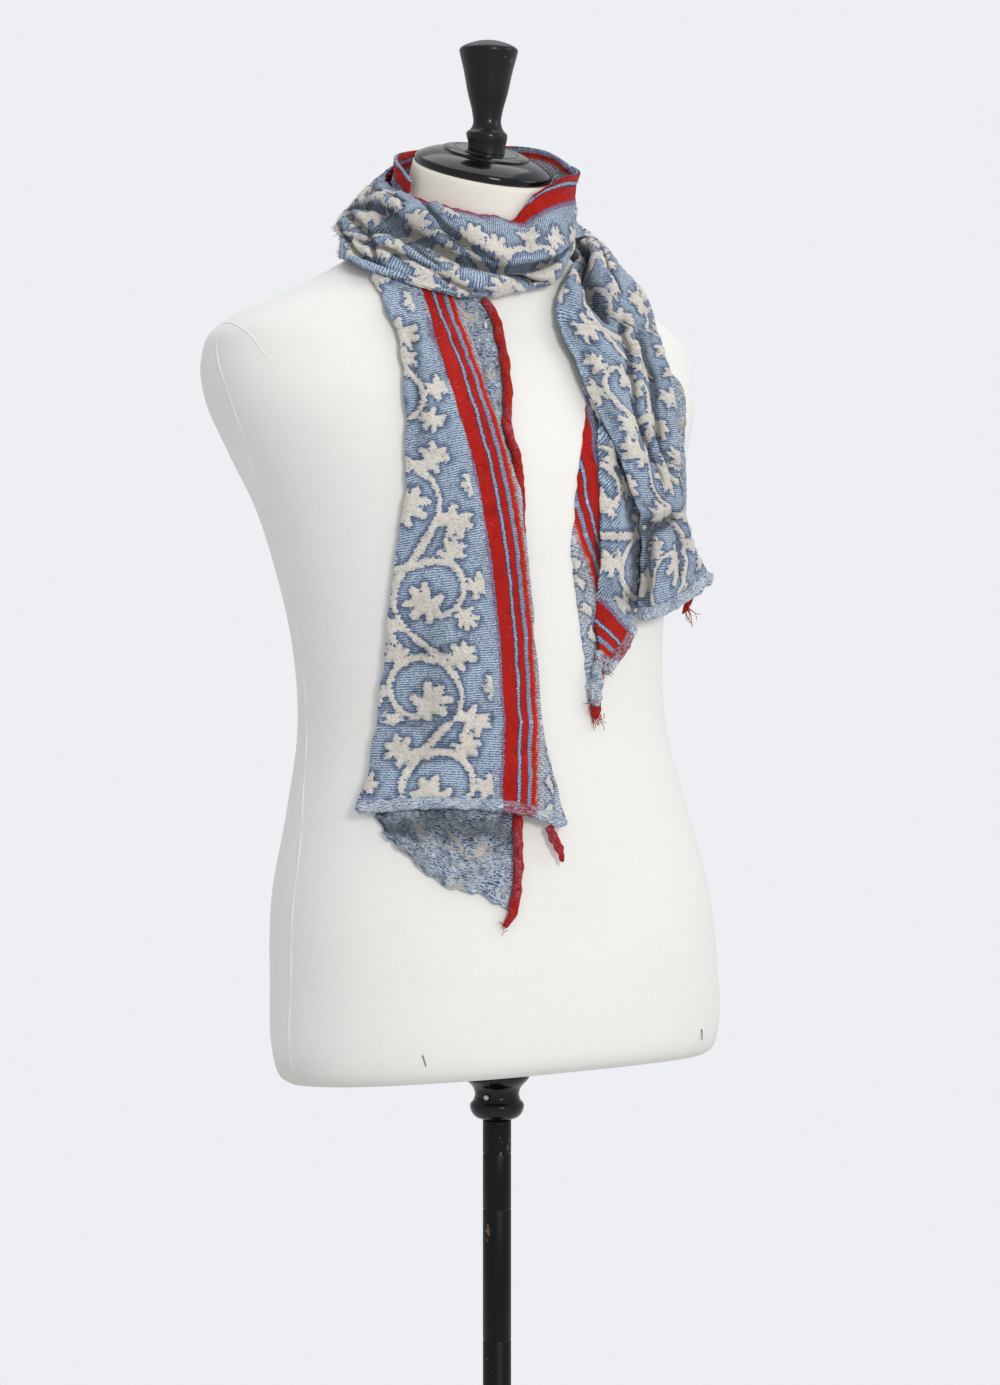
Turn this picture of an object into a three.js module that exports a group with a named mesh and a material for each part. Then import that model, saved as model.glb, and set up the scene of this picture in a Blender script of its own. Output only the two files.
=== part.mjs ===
// A wool scarf wound on a limbless dress form that stands on a turned pole.
// Millimetres, +Z up. The origin is on the floor under the pole, and the form faces -Y, so its own
// left side is +X. Angles are in degrees round the form: 0 is the front, +90 its left, -90 its right.
import * as THREE from "three";

// ---------------------------------------------------------------- driving sizes
const CLOTH = 2.6; // knitted wall of the scarf
const SEAM_GAP = 0.3; // air between pieces that touch
const ROLL = 3.8; // radius of the rolled hems and selvedges
const POLE_RADIUS = 11.5;
const POLE_TOP = 728;
const COLLAR_TOP = 769.6; // seat of the form on its collar, at the pole's axis
const BASE_RADIUS = 190;
const BASE_HEIGHT = 22;
const FORM_BOTTOM_SLOPE = 0.095; // the form's underside rises towards the front
const NECK_SLOPE = 0.34; // the neck's top falls towards the front
const NECK_TOP = new THREE.Vector3(0, 21, 1493); // middle of the neck's top
const NECK_RADIUS = 56;

// A table kept as its named columns. atRow and rowOf, below, read smoothly between its rows.
function table(names, rows) {
  const columns = {};
  names.split(" ").forEach((name, i) => (columns[name] = rows.map((row) => row[i])));
  return { columns, rows: rows.length };
}

// Sections of the canvas form, from its bottom to the top of the neck: half its width, the depth
// of its middle (y), its reach in front of and behind that middle, and how square each half is.
const FORM = table("height halfWidth middle front back frontSquare backSquare", [
  [770, 187, -8, 112, 124, 2.3, 2.3],
  [790, 192, -7, 116, 129, 2.3, 2.3],
  [850, 192, -4, 119, 135, 2.3, 2.3],
  [910, 188, 0, 117, 135, 2.25, 2.3],
  [980, 171, 8, 114, 130, 2.2, 2.2],
  [1045, 156, 18, 114, 122, 2.2, 2.2],
  [1110, 156, 26, 120, 122, 2.2, 2.2],
  [1170, 165, 34, 128, 124, 2.2, 2.3],
  [1225, 179, 42, 136, 124, 2.2, 2.5],
  [1270, 198, 50, 134, 116, 2.2, 2.9],
  [1310, 216, 58, 124, 104, 2.2, 3.0],
  [1340, 220, 62, 112, 90, 2.1, 3.0],
  [1362, 214, 62, 100, 78, 2.1, 2.7],
  [1378, 190, 59, 94, 70, 2.1, 2.4],
  [1393, 156, 54, 88, 66, 2.1, 2.1],
  [1408, 122, 49, 80, 65, 2.0, 2.0],
  [1423, 94, 44, 70, 62, 2.0, 2.0],
  [1440, 74, 38, 63, 59, 2.0, 2.0],
  [1460, 61, 31, 59, 57, 2.0, 2.0],
  [NECK_TOP.z - SEAM_GAP, NECK_RADIUS, NECK_TOP.y, NECK_RADIUS, NECK_RADIUS, 2.0, 2.0],
]);

// Passes round the neck, as profiles in the neck's own frame: r from its axis and h along it from
// the neck's top. A profile runs from the top edge over the upper and outer face to the lower edge.
const NECK_COLUMNS = "turn topR topH upR upH outR outH lowR lowH";
const FRONT_LOOP = table(NECK_COLUMNS, [
  [-140, 80, -18, 92, -30, 108, -62, 90, -92],
  [-123, 77, -21, 93, -36, 111, -67, 94, -89],
  [-105, 74, -21, 93, -33, 115, -61, 105, -81],
  [-88, 69, -21, 91, -30, 117, -57, 120, -77],
  [-70, 66, -22, 87, -30, 116, -55, 131, -73.5],
  [-52, 64, -22, 84, -30, 112, -56, 126, -76.5],
  [-35, 64, -23, 80, -32, 106, -60, 113, -82],
  [-18, 64, -23, 78, -34, 102, -60, 100, -79],
  [-5, 64, -24, 77, -34, 99, -58, 95, -75],
  [5, 64, -10, 76, -30, 97, -56, 94, -73],
  [16, 65, 1, 77, -22, 96, -51, 93, -70],
  [32, 70, 10, 78, -15, 89, -42, 85, -59],
  [50, 74, 12, 78, -10, 83, -34, 80, -48],
  [80, 76, 12, 79, -8, 81, -30, 79, -44],
]);
const BACK_LOOP = table(NECK_COLUMNS, [
  [80, 91, -46, 106, -43, 121, -55, 134, -78],
  [100, 84, -22, 96, -30, 112, -54, 121, -80],
  [125, 83, -2, 94, -18, 108, -58, 100, -103],
  [150, 84, 0, 97, -20, 109, -64, 86, -124],
  [180, 83, -4, 97, -24, 109, -68, 74, -132],
  [203, 82, -12, 95, -28, 108, -65, 83, -113],
  [220, 80, -18, 92, -30, 108, -62, 90, -92],
]);
const NECK_BAND = table("turn topR topH middleR middleH lowR lowH", [
  [80, 76, 12, 79, -8, 80, -34],
  [105, 75, 16, 78, -6, 79, -34],
  [125, 75, 14, 78, -8, 79, -34],
  [150, 74, 8, 77, -12, 78, -34],
  [180, 73, 2, 76, -16, 77, -34],
  [205, 73, -1, 75, -18, 75, -36],
  [225, 73, -2, 73, -18, 71, -34],
  [240, 72, -3, 70, -18, 68, -33],
  [256, 69, -6, 68, -20, 67, -32],
  [270, 66, -12, 66, -22, 66, -31],
]);

// Hanging stretches, from the shoulder down to the hem, laid on the form: the form's section height
// at the left edge, middle and right edge, the angles of the two edges, and how far the outer face
// stands off the canvas at the left edge, middle and right edge.
const HANGING_COLUMNS = "zLeft zMiddle zRight left right offLeft offMiddle offRight";
const LONG_END_FRONT = table(HANGING_COLUMNS, [
  [1413, 1411, 1408, -75, -46, 6.9, 7, 6.9],
  [1399, 1398, 1396, -66, -40, 6.9, 7.2, 6.9],
  [1385, 1385, 1385, -59, -35, 7.4, 8, 7.4],
  [1367, 1367, 1367, -54.3, -31, 9, 11, 10],
  [1350, 1350, 1350, -50.5, -27.5, 10, 13, 11],
  [1315, 1315, 1315, -48, -24.5, 10, 13, 11],
  [1275, 1275, 1275, -48, -21.5, 10, 12, 11],
  [1240, 1240, 1240, -49, -18, 10, 12, 11],
  [1205, 1205, 1205, -52, -16.5, 10, 12, 11],
  [1165, 1165, 1165, -56, -15, 10, 12, 11],
  [1120, 1120, 1120, -60, -14, 10, 12, 11],
  [1070, 1070, 1070, -64.5, -12.5, 10, 12, 11],
  [1025, 1025, 1020, -67.5, -10, 10, 13, 12],
  [990, 995, 978, -70.5, -6, 12, 14, 13],
]);
const LONG_END_UNDER = table(HANGING_COLUMNS, [
  [1394, 1394, 1394, -58, -31, 3.4, 3.6, 3.4],
  [1372, 1372, 1372, -53, -18.5, 3.4, 4, 3.4],
  [1345, 1345, 1345, -48, -16, 3.4, 4, 3.4],
  [1314, 1314, 1314, -46, -17, 3.4, 4, 3.4],
  [1281, 1281, 1281, -46, -19.6, 3.4, 4, 3.4],
  [1258, 1258, 1258, -46.5, -18, 3.4, 4, 3.4],
  [1235, 1235, 1235, -47.5, -18, 3.4, 4, 3.4],
  [1205, 1205, 1205, -50, -18.5, 3.4, 4, 3.4],
  [1165, 1165, 1165, -54, -19.5, 3.4, 4, 3.4],
  [1120, 1120, 1120, -58, -20.5, 3.4, 4, 3.4],
  [1070, 1070, 1070, -62.5, -22, 3.4, 4, 3.4],
  [1025, 1025, 1025, -65.5, -24, 3.4, 4, 3.4],
  [990, 980, 972, -67, -26, 4, 5, 3.4],
  [978, 940, 938, -65.5, -27, 4, 5, 3.4],
  [972, 927, 910, -64, -29.5, 4, 4, 3.4],
]);
const SHORT_END_FRONT = table(HANGING_COLUMNS, [
  [1432, 1420, 1402, 78.8, 78.2, 10, 29, 9],
  [1424, 1411, 1390, 50, 68, 9, 25, 13],
  [1408, 1394, 1373, 30, 61, 9, 21, 15],
  [1388, 1372, 1352, 18, 57, 12, 18, 15],
  [1360, 1353, 1342, 15.5, 54.5, 14, 16, 15],
  [1330, 1326, 1322, 16, 52, 14, 16, 15],
  [1300, 1300, 1298, 17, 49, 14, 16, 15],
  [1270, 1270, 1270, 20, 48, 14, 16, 15],
  [1240, 1240, 1240, 24, 49, 14, 16, 15],
  [1210, 1210, 1212, 28.5, 53, 14, 16, 16],
  [1178, 1182, 1192, 31, 60, 14, 15, 22],
  [1143, 1150, 1176, 31.5, 65, 13, 14, 33],
]);
const SHORT_END_PLEAT = table(HANGING_COLUMNS, [
  [1314, 1314, 1314, 17, 22, 6.8, 8, 7],
  [1290, 1290, 1290, 18.5, 25, 6.8, 10, 7],
  [1270, 1270, 1270, 15.5, 28, 6.8, 10.5, 6.8],
  [1240, 1240, 1240, 14, 31, 6.8, 10.5, 6.8],
  [1210, 1210, 1210, 13.7, 34, 6.8, 10.5, 6.8],
  [1178, 1178, 1178, 15, 35, 6.8, 10.5, 6.8],
  [1145, 1145, 1150, 13, 34, 6.8, 10.5, 6.8],
  [1095, 1116, 1144, 15.5, 33, 7, 10, 7],
]);
const SHORT_END_UNDER = table(HANGING_COLUMNS, [
  [1330, 1330, 1330, 17, 26, 3.4, 3.6, 3.4],
  [1300, 1300, 1300, 13.5, 26, 3.4, 3.6, 3.4],
  [1270, 1270, 1270, 8.5, 26, 3.4, 3.6, 3.4],
  [1235, 1235, 1235, 5, 26, 3.4, 3.6, 3.4],
  [1190, 1190, 1190, 3.3, 26, 3.4, 3.6, 3.4],
  [1155, 1155, 1155, 6, 25, 3.4, 3.6, 3.4],
  [1120, 1120, 1120, 9, 22, 3.4, 3.6, 3.4],
  [1085, 1085, 1085, 11, 17, 3.4, 3.6, 3.4],
  [1066, 1065, 1065, 12, 15.5, 3.4, 3.6, 3.4],
]);
const SHORT_END_REAR = table(HANGING_COLUMNS, [
  [1345, 1345, 1340, 40, 55, 3.4, 5, 7],
  [1320, 1320, 1320, 40, 60, 3.4, 5, 8],
  [1295, 1295, 1295, 40, 57.5, 3.4, 5, 8],
  [1270, 1270, 1270, 40, 55.5, 3.4, 5, 8],
  [1245, 1245, 1245, 40, 58.5, 3.4, 5, 8],
  [1220, 1220, 1220, 42, 62, 3.4, 5, 9],
  [1200, 1200, 1205, 45, 62, 3.4, 5, 10],
]);

// Folds of the cloth, in each stretch's own two directions: across it and down it. A fold is a soft
// trough (depth below 0) or ridge along a line, in millimetres, that fades out at both ends. The
// scale says how many millimetres one step across and one step down are.
const FRONT_LOOP_FOLDS = {
  scale: [1.75, 135],
  lines: [
    { depth: -10, width: 7, line: [[-95, 0.53], [-70, 0.5], [-43, 0.54], [-16, 0.58], [26, 0.58]] },
    { depth: -8, width: 6.5, line: [[-130, 0.45], [-98, 0.42], [-68, 0.44], [-46, 0.47], [-22, 0.52]] },
    { depth: -5, width: 6, line: [[-72, 0.33], [-58, 0.4], [-40, 0.45]] },
    { depth: -5, width: 6, line: [[-16, 0.6], [0, 0.68], [14, 0.78]] },
    { depth: -7, width: 7, line: [[-135, 0.62], [-112, 0.66], [-92, 0.7]] },
    { depth: 4, width: 8, line: [[-60, 0.65], [-30, 0.66], [-5, 0.63]] },
  ],
};
const BACK_LOOP_FOLDS = {
  scale: [1.75, 160],
  lines: [
    { depth: -9, width: 8, line: [[90, 0.5], [125, 0.5], [160, 0.56], [205, 0.5]] },
    { depth: -8, width: 8, line: [[110, 0.68], [150, 0.74], [196, 0.7]] },
    { depth: -6, width: 7, line: [[135, 0.36], [170, 0.4], [214, 0.4]] },
  ],
};
const LONG_END_FOLDS = {
  scale: [95, 35],
  lines: [
    { depth: -3, width: 8, line: [[0.16, 3], [0.14, 5], [0.1, 7]] },
    { depth: 2.5, width: 10, line: [[0.5, 3.5], [0.45, 6], [0.5, 9]] },
    { depth: -2.5, width: 12, line: [[0.2, 9], [0.3, 11], [0.25, 12.5]] },
    { depth: 2, width: 10, line: [[0.72, 8], [0.7, 10.5], [0.75, 13]] },
  ],
};
const SHORT_END_FOLDS = {
  scale: [95, 30],
  lines: [
    { depth: -13, width: 8, line: [[0.06, 0], [0.15, 1.5], [0.35, 2.4], [0.6, 3.3]] },
    { depth: 4, width: 8, line: [[0.4, 1], [0.7, 2.4], [0.76, 4], [0.63, 5.25], [0.5, 6.4], [0.42, 7.8]] },
    { depth: 3, width: 7, line: [[0.93, 2.6], [0.95, 5], [0.82, 7.2], [0.84, 8.4], [0.92, 9.6]] },
    { depth: -4, width: 9, line: [[0.72, 5.3], [0.66, 7], [0.62, 8.2]] },
    { depth: -4, width: 9, line: [[0.4, 8.4], [0.45, 9.6], [0.4, 10.6]] },
  ],
};
const SMOOTH = { scale: [1, 1], lines: [] };

// ---------------------------------------------------------------- reading the tables
const toRadians = THREE.MathUtils.degToRad;

// A smooth curve through the values ys at the places xs.
function smoothCurve(xs, ys, x) {
  const last = xs.length - 1;
  let i = 0;
  while (i < last - 1 && x >= xs[i + 1]) i += 1;
  const slopeAt = (k) => {
    if (k === 0) return (ys[1] - ys[0]) / (xs[1] - xs[0]);
    if (k === last) return (ys[last] - ys[last - 1]) / (xs[last] - xs[last - 1]);
    const before = xs[k] - xs[k - 1];
    const after = xs[k + 1] - xs[k];
    const steep = (ys[k + 1] - ys[k]) / after;
    const earlier = (ys[k] - ys[k - 1]) / before;
    return (before * steep + after * earlier) / (before + after);
  };
  const step = xs[i + 1] - xs[i];
  const t = (x - xs[i]) / step;
  const fromStart = (1 + 2 * t) * (1 - t) ** 2 * ys[i] + t * (1 - t) ** 2 * step * slopeAt(i);
  const fromEnd = t ** 2 * (3 - 2 * t) * ys[i + 1] - t ** 2 * (1 - t) * step * slopeAt(i + 1);
  return fromStart + fromEnd;
}

// A column's value at a place counted in rows.
function atRow(source, name, row) {
  return smoothCurve([...Array(source.rows).keys()], source.columns[name], row);
}

// The row at which a rising first column reaches a value.
function rowOf(source, name, value) {
  return smoothCurve(source.columns[name], [...Array(source.rows).keys()], value);
}

// ---------------------------------------------------------------- places on the form and its neck
// How far a section leans: the form's underside and the neck's top aren't level.
function sectionTilt(height) {
  const rise = THREE.MathUtils.clamp((900 - height) / 130, 0, 1) * FORM_BOTTOM_SLOPE;
  const fall = THREE.MathUtils.clamp((height - 1390) / 80, 0, 1) * NECK_SLOPE;
  return rise - fall;
}

// A point of the canvas at an angle round the form and a section height, moved inwards by inset.
function formPoint(turn, height, inset = 0) {
  const size = (name) => smoothCurve(FORM.columns.height, FORM.columns[name], height);
  const sin = Math.sin(toRadians(turn));
  const cos = Math.cos(toRadians(turn));
  const reach = cos > 0 ? size("front") : size("back");
  const square = cos > 0 ? size("frontSquare") : size("backSquare");
  const across = (Math.abs(sin) / size("halfWidth")) ** square;
  const radius = (across + (Math.abs(cos) / reach) ** square) ** (-1 / square) - inset;
  const y = size("middle") - radius * cos;
  const pivot = height < 1200 ? 0 : NECK_TOP.y;
  return new THREE.Vector3(radius * sin, y, height - sectionTilt(height) * (y - pivot));
}

// The same point moved straight off the canvas.
function offForm(turn, height, off) {
  const round = formPoint(turn + 0.5, height).sub(formPoint(turn - 0.5, height));
  const up = formPoint(turn, height + 1).sub(formPoint(turn, height - 1));
  return formPoint(turn, height).addScaledVector(round.cross(up).normalize(), off);
}

// A point in the neck's own frame: angle, distance from its axis, distance along it from its top.
function neckPoint(turn, radius, along) {
  const axis = new THREE.Vector3(0, -NECK_SLOPE, 1).normalize();
  const side = new THREE.Vector3(1, 0, 0);
  const back = axis.clone().cross(side);
  return NECK_TOP.clone()
    .addScaledVector(side, radius * Math.sin(toRadians(turn)))
    .addScaledVector(back, -radius * Math.cos(toRadians(turn)))
    .addScaledVector(axis, along);
}

// ---------------------------------------------------------------- the cloth's surfaces
// A quadratic through three values at 0, 0.5 and 1.
function through(first, middle, last, t) {
  return first * (1 - t) * (1 - 2 * t) + 4 * middle * t * (1 - t) + last * t * (2 * t - 1);
}

// A pass round the neck: across is the angle, down runs 0..1 from a tucked lip inside the top edge,
// over the top edge and the outer face, to the lower edge and a lip rolled under it.
const TOP_LIP = { inwards: 0, down: 7 };
const LOWER_LIP = { inwards: 9, up: 11 };
function neckPass(source) {
  return (turn, down) => {
    const row = rowOf(source, "turn", turn);
    const size = (name) => atRow(source, name, row);
    const radii = [size("topR") - TOP_LIP.inwards, size("topR"), size("upR"), size("outR")];
    const heights = [size("topH") - TOP_LIP.down, size("topH"), size("upH"), size("outH")];
    radii.push(size("lowR"), size("lowR") - LOWER_LIP.inwards);
    heights.push(size("lowH"), size("lowH") + LOWER_LIP.up);
    const stations = [0, 0.2, 0.4, 0.6, 0.8, 1];
    return neckPoint(turn, smoothCurve(stations, radii, down), smoothCurve(stations, heights, down));
  };
}

// The plain standing band: across is the angle, down runs 0..1 from its top edge to its foot.
function standingBand(source) {
  return (turn, down) => {
    const row = rowOf(source, "turn", turn);
    const size = (name) => atRow(source, name, row);
    const radius = through(size("topR"), size("middleR"), size("lowR"), down);
    return neckPoint(turn, radius, through(size("topH"), size("middleH"), size("lowH"), down));
  };
}

// A hanging stretch: across runs 0..1 from its left to its right edge, down counts rows.
function hanging(source) {
  return (across, down) => {
    const size = (name) => atRow(source, name, down);
    const height = through(size("zLeft"), size("zMiddle"), size("zRight"), across);
    const off = through(size("offLeft"), size("offMiddle"), size("offRight"), across);
    return offForm(THREE.MathUtils.lerp(size("left"), size("right"), across), height, off);
  };
}

// How far a line of a fold lies from a place, and how far along the line, both in millimetres.
function nearestOnLine(line, scale, across, down) {
  let nearest = { distance: Infinity, along: 0 };
  let length = 0;
  for (let i = 0; i + 1 < line.length; i += 1) {
    const start = new THREE.Vector2(line[i][0] * scale[0], line[i][1] * scale[1]);
    const end = new THREE.Vector2(line[i + 1][0] * scale[0], line[i + 1][1] * scale[1]);
    const place = new THREE.Vector2(across * scale[0], down * scale[1]);
    const way = end.clone().sub(start);
    const share = THREE.MathUtils.clamp(place.clone().sub(start).dot(way) / way.lengthSq(), 0, 1);
    const distance = place.distanceTo(start.addScaledVector(way, share));
    if (distance < nearest.distance) nearest = { distance, along: length + share * way.length() };
    length += way.length();
  }
  return { ...nearest, length };
}

const FADE = 0.2; // share of a fold's length over which it fades at each end
function foldHeight(folds, across, down) {
  return folds.lines.reduce((sum, { depth, width, line }) => {
    const { distance, along, length } = nearestOnLine(line, folds.scale, across, down);
    const fade = THREE.MathUtils.smoothstep(Math.min(along, length - along) / length, 0, FADE);
    return sum + depth * fade * Math.exp(-((distance / width) ** 2));
  }, 0);
}

// The outer face and the outward direction of a folded surface at one place.
function clothFace(surface, folds, across, down, reach) {
  const [stepAcross, stepDown] = [reach[0] * 1e-3, reach[1] * 1e-3];
  const sideways = surface(across + stepAcross, down).sub(surface(across - stepAcross, down));
  const downwards = surface(across, down + stepDown).sub(surface(across, down - stepDown));
  const outwards = downwards.cross(sideways).normalize();
  const point = surface(across, down).addScaledVector(outwards, foldHeight(folds, across, down));
  return { point, outwards };
}

// ---------------------------------------------------------------- closed meshes
const wool = new THREE.MeshStandardMaterial({ color: "#7f97be", roughness: 0.95, metalness: 0 });
const redWool = new THREE.MeshStandardMaterial({ color: "#b8241c", roughness: 0.95, metalness: 0 });
const canvas = new THREE.MeshStandardMaterial({ color: "#efeeea", roughness: 0.9, metalness: 0 });
const blackWood = new THREE.MeshStandardMaterial({ color: "#17181a", roughness: 0.2, metalness: 0 });
const steel = new THREE.MeshStandardMaterial({ color: "#a9a9a6", roughness: 0.35, metalness: 1 });
const group = new THREE.Group();

function addMesh(name, geometry, material) {
  const mesh = new THREE.Mesh(geometry, material);
  mesh.name = name;
  group.add(mesh);
  return mesh;
}

function geometryFrom(points, triangles) {
  const geometry = new THREE.BufferGeometry().setFromPoints(points);
  geometry.setIndex(triangles);
  geometry.computeVertexNormals();
  return geometry;
}

// A cloth wall: its outer face on a grid over the surface, its inner face one thickness behind.
function addCloth(name, surface, folds, { across, down, cells, thickness = CLOTH }) {
  const points = [];
  const reach = [across[1] - across[0], down[1] - down[0]];
  const columns = cells[0] + 1;
  const rows = cells[1] + 1;
  const inner = columns * rows;
  for (const layer of [0, thickness])
    for (let j = 0; j < rows; j += 1)
      for (let i = 0; i < columns; i += 1) {
        const a = THREE.MathUtils.lerp(across[0], across[1], i / cells[0]);
        const b = THREE.MathUtils.lerp(down[0], down[1], j / cells[1]);
        const { point, outwards } = clothFace(surface, folds, a, b, reach);
        points.push(point.addScaledVector(outwards, -layer));
      }
  const triangles = [];
  const quad = (a, b, c, d) => triangles.push(a, b, c, a, c, d);
  for (let j = 0; j < cells[1]; j += 1)
    for (let i = 0; i < cells[0]; i += 1) {
      const corner = j * columns + i;
      quad(corner, corner + columns, corner + columns + 1, corner + 1);
      quad(inner + corner, inner + corner + 1, inner + corner + columns + 1, inner + corner + columns);
    }
  for (let j = 0; j < cells[1]; j += 1) {
    const left = j * columns;
    const right = left + cells[0];
    quad(left, inner + left, inner + left + columns, left + columns);
    quad(right, right + columns, inner + right + columns, inner + right);
  }
  for (let i = 0; i < cells[0]; i += 1) {
    const foot = cells[1] * columns + i;
    quad(i, i + 1, inner + i + 1, inner + i);
    quad(foot, inner + foot, inner + foot + 1, foot + 1);
  }
  return addMesh(name, geometryFrom(points, triangles), wool);
}

// A closed skin over rings of points, with a flat or domed end on the first and last ring.
function loftGeometry(rings) {
  const sides = rings[0].length;
  const points = rings.flat();
  const triangles = [];
  for (let j = 0; j + 1 < rings.length; j += 1)
    for (let i = 0; i < sides; i += 1) {
      const a = j * sides + i;
      const b = j * sides + ((i + 1) % sides);
      triangles.push(a, b, b + sides, a, b + sides, a + sides);
    }
  const middleOf = (ring) =>
    ring.reduce((sum, point) => sum.add(point), new THREE.Vector3()).divideScalar(sides);
  const foot = points.push(middleOf(rings[0])) - 1;
  const head = points.push(middleOf(rings[rings.length - 1])) - 1;
  const top = (rings.length - 1) * sides;
  for (let i = 0; i < sides; i += 1) {
    triangles.push(foot, (i + 1) % sides, i);
    triangles.push(head, top + i, top + ((i + 1) % sides));
  }
  return geometryFrom(points, triangles);
}

// A roll of cloth along a path of points, each with its own radius.
const ROLL_SIDES = 8;
function addRoll(name, path, radii, material) {
  const rings = path.map((centre, i) => {
    const before = path[Math.max(i - 1, 0)];
    const after = path[Math.min(i + 1, path.length - 1)];
    const along = after.clone().sub(before).normalize();
    const side = new THREE.Vector3(0, 1, 0).cross(along).normalize();
    const over = along.clone().cross(side);
    return Array.from({ length: ROLL_SIDES }, (_, k) => {
      const angle = (2 * Math.PI * k) / ROLL_SIDES;
      return centre
        .clone()
        .addScaledVector(side, radii[i] * Math.cos(angle))
        .addScaledVector(over, radii[i] * Math.sin(angle));
    });
  });
  return addMesh(name, loftGeometry(rings), material);
}

// A turned piece from [radius, height] points, standing on +Z.
function turnedGeometry(profile, sides) {
  const points = profile.map(([radius, height]) => new THREE.Vector2(radius, height));
  return new THREE.LatheGeometry(points, sides).rotateX(Math.PI / 2);
}

// Moves the points of a turned piece above or below a height up by slope times their depth.
function shear(geometry, slopeOf) {
  const position = geometry.getAttribute("position");
  for (let i = 0; i < position.count; i += 1)
    position.setZ(i, position.getZ(i) - slopeOf(position.getZ(i)) * position.getY(i));
  return geometry;
}

// ---------------------------------------------------------------- the form and its stand
const FORM_SIDES = 44;
const FORM_FOOT = [
  { height: 770, inset: 8 },
  { height: 774, inset: 2.5 },
  { height: 781, inset: 0 },
];
// Where the form is hollow from top to bottom, at its waist and its neck, its rings lie closer.
const HOLLOWS = [
  { from: 980, to: 1225 },
  { from: 1393, to: 1492 },
];
function formRings() {
  const heights = FORM.columns.height.slice(1);
  const between = heights
    .slice(0, -1)
    .map((height, i) => (height + heights[i + 1]) / 2)
    .filter((height) => HOLLOWS.some(({ from, to }) => height > from && height < to));
  const whole = [...heights, ...between].sort((a, b) => a - b).map((height) => ({ height, inset: 0 }));
  return [...FORM_FOOT, ...whole];
}
function addForm() {
  const rings = formRings().map(({ height, inset }) =>
    Array.from({ length: FORM_SIDES }, (_, i) => formPoint((360 * i) / FORM_SIDES, height, inset)),
  );
  addMesh("canvas_form", loftGeometry(rings), canvas);
}

// The wooden cap: a rim, a shallow dome, a stepped ring and a sunk seat for the finial.
const CAP_LEAN = Math.atan(NECK_SLOPE);
const CAP_PROFILE = [
  [0, 0],
  [55, 0],
  [NECK_RADIUS, 1],
  [NECK_RADIUS, 4.5],
  [55, 6],
  [49, 9.5],
  [42, 12.3],
  [35.4, 13.9],
  [35, 15.4],
  [33, 16.2],
  [27, 17],
  [26, 16.2],
  [25, 17],
  [0, 17],
];
function addNeckCap() {
  const cap = addMesh("neck_cap", turnedGeometry(CAP_PROFILE, 36), blackWood);
  cap.position.copy(NECK_TOP);
  cap.rotation.x = CAP_LEAN;
}

const FINIAL_SEAT = 17 + SEAM_GAP; // along the neck's axis, from its top
const FINIAL_LEAN = 0.041;
const FINIAL_PROFILE = [
  [0, 0],
  [14.9, 0],
  [14.9, 3],
  [15.4, 6],
  [16.5, 10],
  [16.5, 13],
  [13.7, 15.7],
  [12, 18.6],
  [11.3, 21.5],
  [12.1, 29],
  [16.1, 45],
  [20.1, 64.3],
  [22.6, 74],
  [23.7, 78.4],
  [23.2, 80.4],
  [21.2, 82],
  [14.4, 85],
  [7, 86.9],
  [0, 87.5],
];
// The finial stands nearly upright, so its foot is cut to the slope of the cap.
function addFinial() {
  const footSlope = (height) => -(NECK_SLOPE - FINIAL_LEAN) * Math.max(1 - height / 20, 0);
  const finial = addMesh("finial", shear(turnedGeometry(FINIAL_PROFILE, 26), footSlope), blackWood);
  finial.position.copy(neckPoint(0, 0, FINIAL_SEAT));
  finial.rotation.x = FINIAL_LEAN;
}

const COLLAR_PROFILE = [
  [0, 0],
  [POLE_RADIUS + 0.7, 0],
  [18, 2.5],
  [21.3, 7.5],
  [21.8, 12.5],
  [19.2, 15.5],
  [18, 20],
  [19, 25],
  [22.5, 29.5],
  [26, 32.5],
  [26.6, 34],
  [26.6, 40],
  [25.6, COLLAR_TOP - POLE_TOP],
  [0, COLLAR_TOP - POLE_TOP],
];
function addCollar() {
  const seatSlope = (height) => FORM_BOTTOM_SLOPE * THREE.MathUtils.smoothstep(height, 30, 34);
  const geometry = shear(turnedGeometry(COLLAR_PROFILE, 28), seatSlope);
  addMesh("stand_collar", geometry, blackWood).position.z = POLE_TOP;
}

// A grub screw in the collar's waist, its head just off the wood.
const SCREW = { turn: -59, height: 748, waist: 18.6, radius: 2.2, length: 1.6 };
function addCollarScrew() {
  const profile = [
    [0, 0],
    [SCREW.radius, 0],
    [SCREW.radius, SCREW.length * 0.6],
    [SCREW.radius * 0.6, SCREW.length],
    [0, SCREW.length],
  ];
  const screw = addMesh("collar_screw", turnedGeometry(profile, 12), steel);
  const turn = toRadians(SCREW.turn);
  const outwards = new THREE.Vector3(Math.sin(turn), -Math.cos(turn), 0);
  screw.quaternion.setFromUnitVectors(new THREE.Vector3(0, 0, 1), outwards);
  screw.position.copy(outwards).multiplyScalar(SCREW.waist + SEAM_GAP).setZ(SCREW.height);
}

function addPole() {
  const height = POLE_TOP - BASE_HEIGHT - 2 * SEAM_GAP;
  const profile = [
    [0, 0],
    [POLE_RADIUS, 0],
    [POLE_RADIUS, height],
    [0, height],
  ];
  addMesh("stand_pole", turnedGeometry(profile, 28), blackWood).position.z = BASE_HEIGHT + SEAM_GAP;
}

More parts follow.
